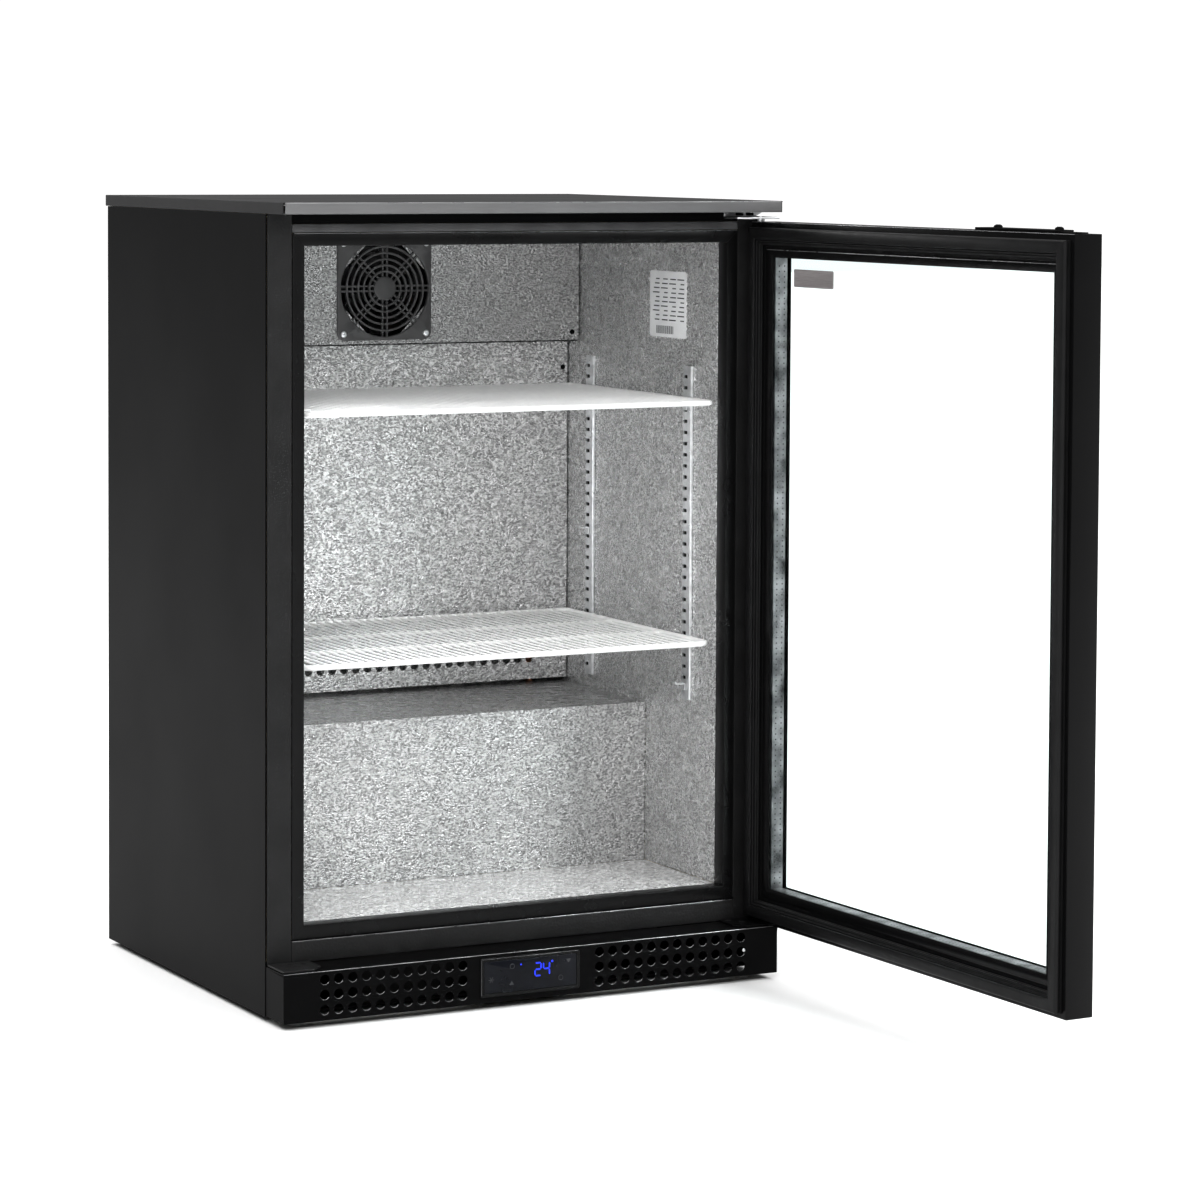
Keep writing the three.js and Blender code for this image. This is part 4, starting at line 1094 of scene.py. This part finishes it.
def guard():
    low, high = mm_box("fan_guard")
    centre = (low + high) / 2
    half = (high.x - low.x) / 2
    sides = 96
    square, inner = rounded_square(half, 8.0, sides), circle(GUARD_BORE, sides)
    bm = bmesh.new()
    rings = (
        (inner, high.y), (square, high.y), (square, low.y + 2.6), (square, low.y + 1.6, 0.98),
        (inner, low.y + 0.8, 1.02), (inner, low.y + 1.6), (inner, high.y),
    )
    add_loops(bm, [xz_ring(centre, *ring) for ring in rings])
    wide, deep = 1.25, 2.0
    for radius in GUARD_RINGS:
        start = len(bm.verts)
        profile = [
            (radius - wide, -deep), (radius - 0.5, -deep - 0.5), (radius + 0.5, -deep - 0.5),
            (radius + wide, -deep), (radius + wide, deep), (radius - wide, deep), (radius - wide, -deep),
        ]
        add_loops(bm, [[Vector((a, y, b)) for a, b in circle(r, 64)] for r, y in profile])
        move_new(bm, start, Matrix.Translation(centre))
    disc = [(0, -2.4), (12.0, -2.4), (13.8, -1.6), (14.4, 0), (14.4, 2.4), (0, 2.4)]
    add_lathe(bm, disc, centre, "Y", 36)
    spoke_half = 1.05
    for k in range(8):
        for side in (-2.9, 2.9):
            start = len(bm.verts)
            add_box(
                bm, (centre.x + 13, low.y + 1.2, centre.z + side - spoke_half),
                (centre.x + GUARD_BORE + 0.6, high.y - 0.4, centre.z + side + spoke_half),
            )
            move_new(bm, start, around(centre, k * math.pi / 4))
    piece("fan_guard_grille", bm, "black_plastic", CABINET, ("fan_guard",), 0.25, 1, look="guard_plastic")
    reach = 52.5
    xs, zs = ((c - reach, c + reach) for c in (centre.x, centre.z))
    places = points_between(xs, low.y + 0.8, zs)
    screws("fan_guard_screws", places, (0, -1, 0), radius=3.9)


# ---- coils, machinery and pipes
COIL_ROWS = 6


def coil(unit):
    """A stack of thin fins threaded by a serpentine tube."""
    node, rows = unit + "_coil", COIL_ROWS
    low, high = mm_box(node)
    pitch = (high.z - low.z) / rows
    bend = pitch / 2
    side = bend + 4
    x0, x1 = low.x + side, high.x - side
    bm = bmesh.new()
    count = int((x1 - x0) / 4)
    step = (x1 - x0) / count
    for k in range(count + 1):
        x = x0 + k * step
        add_box(bm, (x - 0.15, low.y, low.z), (x + 0.15, high.y, high.z))
    piece(unit + "_fins", bm, "coil_fins", nodes=(node,))
    bm = bmesh.new()
    middle = middle_of(low, high)[1]
    path = []
    for row in range(rows):
        z = low.z + pitch * (row + 0.5)
        ends = (x0, x1) if row % 2 == 0 else (x1, x0)
        path += [(ends[0], middle, z), (ends[1], middle, z)]
        if row + 1 < rows:
            sign = 1 if row % 2 == 0 else -1
            for k in range(1, 8):
                turn = -math.pi / 2 + math.pi * k / 8
                x = ends[1] + sign * bend * math.cos(turn)
                path.append((x, middle, z + bend + bend * math.sin(turn)))
    add_tube(bm, path, 3.9, 12)
    piece(unit + "_tube", bm, "copper_tube")


def compressor():
    low, high = mm_box("compressor")
    x, y, _ = middle_of(low, high)
    floor = low.z
    bm = bmesh.new()
    base = floor + 7.7
    profile = [
        (0, base), (69, base), (74, base + 6), (75, base + 10), (75, base + 84), (77.5, base + 86),
        (77.5, base + 90), (75, base + 92), (75, base + 118), (73, base + 136), (67, base + 152),
        (54, base + 166), (34, base + 174), (12, base + 176.5), (0, base + 176.5),
    ]
    add_lathe(bm, profile, (x, y, 0), "Z", 48)
    scale = (high.y - low.y) / 155
    for vert in bm.verts:
        vert.co.x = x + (vert.co.x - x) * min(1.0, scale)
        vert.co.y = y + (vert.co.y - y) * min(1.0, scale)
    piece("compressor_can", bm, "black_steel", nodes=("compressor",))
    bm = bmesh.new()
    plate = rounded_rectangle(190, 120, 14, 5)
    add_prism(bm, plate, lambda a, b, end: Vector((x + a, y + b, floor + 4 + 3.4 * end)))
    piece("compressor_plate", bm, "zinc_steel", bevel=0.4)
    bm = bmesh.new()
    foot = [(0, 0), (8, 0), (9, 1.2), (7, 2.6), (9, 4), (9, 9), (6, 10), (0, 10)]
    for a, _, b in points_between((-82, 82), 0, (-44, 44)):
        add_lathe(bm, foot, (x + a, y + b, floor), "Z", 24)
    piece("compressor_grommets", bm, "gasket_rubber", look="gasket_rubber")
    bm = bmesh.new()
    add_box(bm, (x - 26, y + 64, base + 40), (x + 26, y + 92, base + 96))
    piece("compressor_terminal_cover", bm, "black_plastic", bevel=4, segments=4)


SUCTION = (
    (215, 194, 690), (215, 194, 560), (215, 194, 400), (215, 194, 300), (215, 194, 240),
    (170, 205, 222), (40, 215, 218), (-35, 190, 215), (-63, 160, 200), (-67, 146, 180),
)
DISCHARGE = (
    (-59, 124, 160), (-45, 116, 190), (-15, 90, 205), (20, 70, 206), (70, 66, 206), (90, 66, 200),
)


def machinery():
    for make in (coil, housing, rotor):
        for unit in ("evaporator", "condenser"):
            make(unit)
    compressor()
    for node, points, radius in (("suction_line", SUCTION, 4.0), ("discharge_line", DISCHARGE, 3.0)):
        bm = bmesh.new()
        add_tube(bm, smooth_path(points, 8), radius, 14)
        piece(node + "_pipe", bm, "copper_tube", nodes=(node,))
    for node in ("drain_tray", "condensate_pan"):
        cad_copy(node, "black_plastic", bevel=0.6)


GRILLE = {"columns": (18, 262), "rows": 8, "bottom": 43, "pitch": 22, "slot": (230, 8, 3.9)}


def rear_grille():
    low, high = mm_box("rear_grille")
    y = high.y
    edge, rows = 12, GRILLE["rows"]
    near, far = GRILLE["columns"]
    xs = [low.x, -far, -near, near, far, high.x]
    zs = [low.z, *(GRILLE["bottom"] + GRILLE["pitch"] * k for k in range(rows + 1)), high.z]
    slot = rounded_rectangle(*GRILLE["slot"])
    bm = bmesh.new()
    add_sheet(bm, xs, zs, y, slot, lambda i, j: i in (1, 3) and 1 <= j <= rows)
    bmesh.ops.remove_doubles(bm, verts=bm.verts, dist=1e-3)
    bmesh.ops.reverse_faces(bm, faces=bm.faces)
    sheet("rear_grille_sheet", bm, "black_steel", "rear_grille", 1.2, 0.35)
    places = points_between((low.x + edge, high.x - edge), y, (low.z + 60, high.z - edge))
    places.append((0, y, high.z - edge))
    screws("rear_grille_screws", places, (0, 1, 0), slot="black_steel")
    low, high = mm_box("cable_gland")
    x, _, z = Vector(middle_of(low, high))
    bm = bmesh.new()
    nut = [(x + a, z + b) for a, b in circle(11.8, 6)]
    face = y + 0.3
    add_prism(bm, nut, lambda a, b, end: Vector((a, face + 3.2 * end, b)))
    boot = [(4.2, face + 3), (9.0, face + 3), (8.6, face + 3.9), (7.6, high.y), (4.2, high.y)]
    add_lathe(bm, [(4.2, low.y), (8.4, low.y), (8.4, face)] + boot, (x, 0, z), "Y", 32)
    piece("cable_gland_turned", bm, "black_plastic", nodes=("cable_gland",), bevel=0.4)


# ---- storage fittings
SLOT_PITCH = 12.7
PILASTER_DEPTH = 3.2
PILASTER_EDGE = 0.8
SLOT_INSET = 6.4
CLIP_REACH = 13.5
SPARE_CLIPS = {"front": (321.5,), "rear": (478.8,)}


def add_clip(bm, face_x, sign, y, top):
    """A bent clip: a hook in the slot and a tongue under the shelf."""
    reach = CLIP_REACH
    profile = [
        (0.4, top - 9.5), (1.6, top - 9.5), (1.6, top - 3.2), (reach - 1, top - 3.2),
        (reach, top - 2.4), (reach, top), (reach - 1.6, top - 0.2), (reach - 2.6, top - 1.6),
        (1.6, top - 1.6), (0.4, top - 2.4),
    ]
    add_prism(bm, profile, lambda a, b, end: Vector((face_x - sign * a, y - 5 + 10 * end, b)))


def pilaster(side, row):
    node = f"{side}_{row}_pilaster"
    low, high = mm_box(node)
    sign = -1 if side == "left" else 1
    wall_x = sign * max(abs(low.x), abs(high.x))
    face_x = wall_x - sign * PILASTER_DEPTH
    shoulder_x = face_x + sign * PILASTER_EDGE
    y0, y1 = low.y, high.y
    middle = y1 - SLOT_INSET
    count = int((high.z - low.z - 10) / SLOT_PITCH)
    start = (low.z + high.z) / 2 - count * SLOT_PITCH / 2
    bm = bmesh.new()
    lines = [y0 + PILASTER_EDGE, middle - 4.6, middle + 4.6, y1 - PILASTER_EDGE]
    levels = [low.z, *(start + k * SLOT_PITCH for k in range(count + 1)), high.z]
    slot = rounded_rectangle(8.2, 3.8, 0.8, 2)
    add_sheet(bm, lines, levels, 0, slot, lambda i, j: i == 1 and 1 <= j <= count)
    swap = Matrix(((0, -sign, 0, face_x), (1, 0, 0, 0), (0, 0, 1, 0), (0, 0, 0, 1)))
    bm.transform(swap)
    for a, b in zip(levels, levels[1:]):
        for edge, outer in ((lines[0], y0), (lines[-1], y1)):
            for points in (
                ((face_x, edge, a), (face_x, edge, b), (shoulder_x, outer, b), (shoulder_x, outer, a)),
                ((shoulder_x, outer, a), (shoulder_x, outer, b), (wall_x, outer, b), (wall_x, outer, a)),
            ):
                add_face(bm, points)
    sheet(node + "_channel", bm, "zinc_steel", node, 0.8, 0.15, 1)
    # painted shade: a dark sheet behind the slots
    painted_slot_shade = bmesh.new()
    near, far = sorted((wall_x - sign * 0.5, wall_x - sign * 1.1))
    add_box(painted_slot_shade, (near, middle - 4.5, levels[1]), (far, middle + 4.5, levels[-2]))
    piece(node + "_slot_shade", painted_slot_shade, "zinc_steel", look="recess")
    clips = bmesh.new()
    tops = [mm_box(node_name)[0].z - 0.3 for node_name in ("upper_shelf", "lower_shelf")]
    for top in (*tops, *SPARE_CLIPS[row]):
        add_clip(clips, face_x, sign, middle, top)
    piece(node + "_clips", clips, "zinc_steel", bevel=0.25, segments=1)


def shelf(node, body):
    """Coated wire: a round-cornered rim, cross rods, and wires that hook over the front rod."""
    low, high = mm_box(node)
    rim, wire, cross = 3.0, 1.2, 1.9
    corner, rear = 16.0, 5
    z = low.z + rim
    x0, x1, y0, y1 = low.x + rim, high.x - rim, low.y + rim, high.y - rim
    bm = bmesh.new()
    corners = (
        (x0 + corner, y0 + corner, corner, math.pi, 8), (x1 - corner, y0 + corner, corner, 1.5 * math.pi, 8),
        (x1 - rear, y1 - rear, rear, 0.0, 4), (x0 + rear, y1 - rear, rear, 0.5 * math.pi, 4),
    )
    outline = [(x, y, z) for arc in corners for x, y in corner_arc(*arc)]
    add_tube(bm, outline, rim, 12, closed=True)
    for part in (0.33, 0.66):
        y = y0 + (y1 - y0) * part
        add_tube(bm, [(x0, y, z - 0.5), (x1, y, z - 0.5)], cross, 10)
    pitch = 10.6
    count = int((x1 - x0 - 2 * corner) / pitch)
    start = -count * pitch / 2
    level = high.z - wire + 0.5
    for k in range(count + 1):
        x = start + k * pitch
        path = [
            (x, y0 - 1.5, level - 3.0), (x, y0 - 1.1, level - 1.1), (x, y0 + 0.8, level),
            (x, y1 - 0.8, level), (x, y1 + 1.1, level - 1.1), (x, y1 + 1.5, level - 3.0),
        ]
        add_tube(bm, path, wire, 8)
    piece(node + "_wires", bm, "white_wire", body, (node,))


def lamp():
    """A low channel on the left wall with a domed diffuser that also throws light to the back."""
    low, high = mm_box("lamp_housing")
    middle = middle_of(low, high)[1]
    half = (high.y - low.y) / 2
    rise = 4.5
    def bar(name, slot, node, profile, bottom, top, bevel=0.0):
        """A profile of (off the wall, along y) drawn upwards."""
        bm = bmesh.new()
        ends = (bottom, top)
        add_prism(bm, profile, lambda a, b, end: Vector((low.x + a, middle + b, ends[end])))
        piece(name, bm, slot, nodes=(node,), bevel=bevel)

    wall = 1.2
    profile = [
        (0, -half), (rise, -half), (rise, -half + wall), (1.5, -half + wall),
        (1.5, half - wall), (rise, half - wall), (rise, half), (0, half),
    ]
    bar("lamp_channel", "white_wire", "lamp_housing", profile, low.z, high.z, 0.3)
    caps = bmesh.new()
    for z0, z1 in ((low.z, low.z + 3.5), (high.z - 3.5, high.z)):
        add_box(caps, (low.x, low.y, z0), (high.x, high.y, z1))
    piece("lamp_end_caps", caps, "white_wire", bevel=1.5, segments=4)
    strip_low, strip_high = mm_box("lamp_strip")
    radius = half - 1.6
    section = [(2.0, -radius)]
    for k in range(13):
        turn = -math.pi / 2 + math.pi * k / 12
        section.append((3.2 + (high.x - low.x - 3.7) * math.cos(turn), radius * math.sin(turn)))
    section.append((2.0, radius))
    bar("lamp_dome", "lamp_diffuser", "lamp_strip", section, strip_low.z, strip_high.z)


# ---- door
# the closed door about its pin: hinged and free edge in x, inner and outer face in y
DOOR_RIGHT, DOOR_LEFT = 9.0, -587.0
DOOR_INNER, DOOR_OUTER = 7.0, -27.0
GRIP = {"width": 16, "height": 320, "corner": 7.5, "inset": 16, "z": 470, "depth": 14}
PLATE_SCREWS = (48, 152)


def door_piece(name, bm, slot, node=None, look=None):
    nodes = (node,) if node else ()
    return piece(name, bm, slot, DOOR, nodes, place=DOOR_PLACE, look=look)


def door():
    bottom, top = (v.z for v in mm_box("door_frame"))
    rect = (DOOR_LEFT, bottom, DOOR_RIGHT, top)
    cut_grip(door_profile(rect))
    for node in ("inner_glass", "outer_glass"):
        pane = cad_copy(node, "door_glass", DOOR, bevel=0.3, segments=1)
        pane.visible_shadow = False
    spacer(rect)
    gasket(rect)
    cad_copy("door_top_plate", "black_steel", DOOR, bevel=0.4)
    plate_top = mm_box("door_top_plate")[1].z
    y = (DOOR_INNER + DOOR_OUTER) / 2
    places = [(DOOR_LEFT + x, y, plate_top) for x in PLATE_SCREWS]
    screws("door_plate_screws", places, (0, 0, 1), DOOR, "black_steel", 4.6, DOOR_PLACE, 3.0)
    badge()
    # painted highlights: light lines along the bezel groove's lower lip and the door's top edge
    for name, inset, short, back in (
        ("door_bezel_edge", 30.4, 30.4, 1.75), ("door_top_edge", 0.3, 1, 0.3),
    ):
        xs, level = (DOOR_RIGHT - short, DOOR_LEFT + short), top - inset
        painted_highlight_line(name, xs, DOOR_INNER - back, (level, level), "door_profile", DOOR, 0.4, DOOR_PLACE)


def door_profile(rect):
    """The frame's section: (inset from the edge, depth from the inner or the outer face)."""
    inside = [
        (0, 1.0), (0.3, 0.3), (1.0, 0), (23.2, 0), (24.4, 0.35), (27.8, 1.2), (28.2, 2.6), (29.8, 2.6),
        (30.3, 1.7), (31.2, 1.5), (38.4, 4.0), (39, 4.5), (39, 4.8), (29, 4.8),
    ]
    outside = [
        (29, 4.8), (39, 4.8), (39, 4.4), (38.4, 3.9), (28, 0.2), (27, 0), (1.2, 0), (0.35, 0.35), (0, 1.2),
    ]
    profile = [(u, DOOR_INNER - deep) for u, deep in inside]
    profile += [(u, DOOR_OUTER + deep) for u, deep in outside]
    bm = bmesh.new()
    add_frame(bm, profile + profile[:1], rect)
    return door_piece("door_frame_profile", bm, "door_profile", "door_frame")


def cut_grip(made):
    """Cuts the long finger recess into the outer face near the free edge."""
    grip = bmesh.new()
    outline = rounded_rectangle(GRIP["width"], GRIP["height"], GRIP["corner"], 6)
    x, y, z = DOOR_LEFT + GRIP["inset"], DOOR_OUTER - 1, GRIP["z"]
    add_prism(grip, outline, lambda a, b, end: Vector((x + a, y + end * GRIP["depth"], z + b)))
    bmesh.ops.recalc_face_normals(grip, faces=grip.faces)
    grip.transform(Matrix.Scale(MM, 4) @ DOOR_PLACE)
    cutter = add_object("grip_cutter", finished_mesh("grip_cutter", grip))
    recess = made.modifiers.new("grip", "BOOLEAN")
    recess.operation = "DIFFERENCE"
    recess.solver = "EXACT"
    recess.object = cutter
    bpy.context.view_layer.update()
    depsgraph = bpy.context.evaluated_depsgraph_get()
    cut_mesh = bpy.data.meshes.new_from_object(made.evaluated_get(depsgraph))
    made.modifiers.clear()
    made.data = cut_mesh
    bpy.data.objects.remove(cutter)


def spacer(rect):
    near, far = DOOR_INNER - 9.3, DOOR_OUTER + 9.3
    profile = [(31, near), (37.6, near), (38.4, near - 0.8), (38.4, far + 0.8), (37.6, far), (31, far)]
    bm = bmesh.new()
    add_frame(bm, profile + profile[:1], rect)
    door_piece("glass_spacer_bar", bm, "stucco_aluminium", "glass_spacer", "spacer")
    spacer_dots(rect, near, far)


def spacer_dots(rect, near, far):
    """The two rows of breathing holes along the spacer's inner faces, drawn as flat dark discs of painted
    shade.
    """
    x0, z0, x1, z1 = rect
    inset = 38.42
    pitch = 6.0
    dot = circle(0.9, 8)
    bm = bmesh.new()

    def places(low, high):
        count = int((high - low - 2 * inset) / pitch)
        return [low + inset + k * pitch for k in range(1, count)]

    for y in (near - 4.2, far + 4.2):
        for z in (z0 + inset, z1 - inset):
            for x in places(x0, x1):
                add_face(bm, [(x + a, y + b, z) for a, b in dot])
        for x in (x0 + inset, x1 - inset):
            for z in places(z0, z1):
                add_face(bm, [(x, y + a, z + b) for a, b in dot])
    door_piece("spacer_holes", bm, "stucco_aluminium", look="recess")


def gasket(rect):
    """Magnetic gasket: a dart side, a bellows with ribs and a flat magnet pocket."""
    seat = DOOR_INNER + 0.3
    profile = [
        (6.0, 0.0), (6.0, 2.2), (7.2, 2.8), (6.6, 3.6), (6.0, 5.6), (6.6, 8.0), (8.2, 9.1), (17.0, 9.1),
        (18.6, 8.4), (19.0, 7.1), (18.0, 6.0), (19.6, 5.3), (20.4, 6.0), (21.4, 5.3), (20.8, 4.0),
        (22.2, 3.3), (23.0, 3.9), (24.2, 3.1), (23.8, 1.6), (25.0, 0.9), (25.0, 0.0),
    ]
    profile = [(u, seat + t) for u, t in profile]
    bm = bmesh.new()
    add_frame(bm, profile + profile[:1], rect)
    door_piece("door_gasket_bellows", bm, "gasket_rubber", "door_gasket")


BADGE_BOX = (81.0, 159.5, 776.4, 795.9)


def badge():
    """A blank plate on the glass; its box is measured from the hinged edge."""
    u0, u1, z0, z1 = BADGE_BOX
    y = DOOR_INNER - 5.0
    size = (u1 - u0, z1 - z0)
    cx, cz = DOOR_RIGHT - (u0 + u1) / 2, (z0 + z1) / 2
    bm = bmesh.new()
    add_plate(
        bm, rounded_rectangle(*size, 2.0, 4), size,
        ((0, 0), (0, 0.5), (0.5, 0.8), (1.8, 0.8), (2.2, 0.55)),
        lambda a, b, off: Vector((cx + a, y + off, cz + b)),
    )
    door_piece("blank_badge", bm, "zinc_steel", look="badge")


# ---- studio
CAMERA = {
    "place": (-1.9337, -4.0776, 0.9405), "azimuth": 27.7129, "pitch": -3.2118, "roll": 0.3044,
    "lens": 119.655, "shift": -0.2,
}


def camera():
    data = bpy.data.cameras.new("camera")
    data.lens = CAMERA["lens"]
    data.sensor_width = 36
    data.shift_y = CAMERA["shift"]
    data.clip_end = 100
    made = add_object("camera", data)
    azimuth, pitch, roll = (math.radians(CAMERA[k]) for k in ("azimuth", "pitch", "roll"))
    level = math.cos(pitch)
    ahead = Vector((math.sin(azimuth) * level, math.cos(azimuth) * level, math.sin(pitch)))
    right = Vector((math.cos(azimuth), -math.sin(azimuth), 0))
    up = right.cross(ahead)
    axes = (
        right * math.cos(roll) + up * math.sin(roll),
        up * math.cos(roll) - right * math.sin(roll),
        -ahead,
    )
    made.matrix_world = Matrix.Translation(CAMERA["place"]) @ Matrix(axes).transposed().to_4x4()
    bpy.context.scene.camera = made


def area_light(name, place, target, size, power):
    data = bpy.data.lights.new(name, "AREA")
    data.shape = "RECTANGLE"
    data.size, data.size_y = size
    data.energy = power
    made = add_object(name, data)
    made.location = place
    made.rotation_euler = (Vector(target) - Vector(place)).to_track_quat("-Z", "Y").to_euler()


SKY_SEEN = 1.08
SKY_LIGHT = 0.24
SUN_POWER = 4.8
SUN_SPREAD = 110.0


def sky():
    """White where it is looked at, straight or through glass, and dim as a light."""
    world = bpy.data.worlds.new("studio")
    world.use_nodes = True
    nodes, links = world.node_tree.nodes, world.node_tree.links
    background = nodes["Background"]
    background.inputs["Color"].default_value = (1, 1, 1, 1)
    path = nodes.new("ShaderNodeLightPath")
    seen = nodes.new("ShaderNodeMath")
    seen.operation = "MAXIMUM"
    links.new(path.outputs["Is Camera Ray"], seen.inputs[0])
    links.new(path.outputs["Is Transmission Ray"], seen.inputs[1])
    strength = nodes.new("ShaderNodeMapRange")
    strength.inputs["To Min"].default_value = SKY_LIGHT
    strength.inputs["To Max"].default_value = SKY_SEEN
    links.new(seen.outputs[0], strength.inputs["Value"])
    links.new(strength.outputs["Result"], background.inputs["Strength"])
    bpy.context.scene.world = world


def overhead():
    data = bpy.data.lights.new("overhead", "SUN")
    data.energy = SUN_POWER
    data.angle = math.radians(SUN_SPREAD)
    add_object("overhead", data).location = (0, 0, 3)


# name, place, target, size and watts
SOFTBOXES = (
    ("right_softbox", (2.3, -3.4, 2.3), (0, 0, 0.5), (0.9, 0.7), 60),
    ("front_softbox", (-1.6, -3.4, 2.2), (0, 0, 0.5), (1.6, 1.6), 62),
    ("rear_left_softbox", (-1.5, 2.9, 2.0), (-0.3, 0, 0.6), (0.9, 0.9), 25),
)


def studio():
    sky()
    overhead()
    for softbox in SOFTBOXES:
        area_light(*softbox)
    bpy.context.scene.view_settings.view_transform = "Standard"
    bpy.context.scene.view_settings.gamma = 0.85
    bm = bmesh.new()
    bmesh.ops.create_grid(bm, x_segments=8, y_segments=8, size=20)
    floor = add_object("floor", finished_mesh("floor", bm))
    floor.data.materials.append(MATERIALS["floor"])


camera()
studio()
shell()
feet()
front_frame()
kick()
controller()
hinges()
liner()
fan_cover()
duct()
label()
guard()
machinery()
rear_grille()
for side_name in ("left", "right"):
    for row_name in ("front", "rear"):
        pilaster(side_name, row_name)
for level_name in ("upper", "lower"):
    shelf(level_name + "_shelf", level_name + "_shelf_body")
lamp()
door()
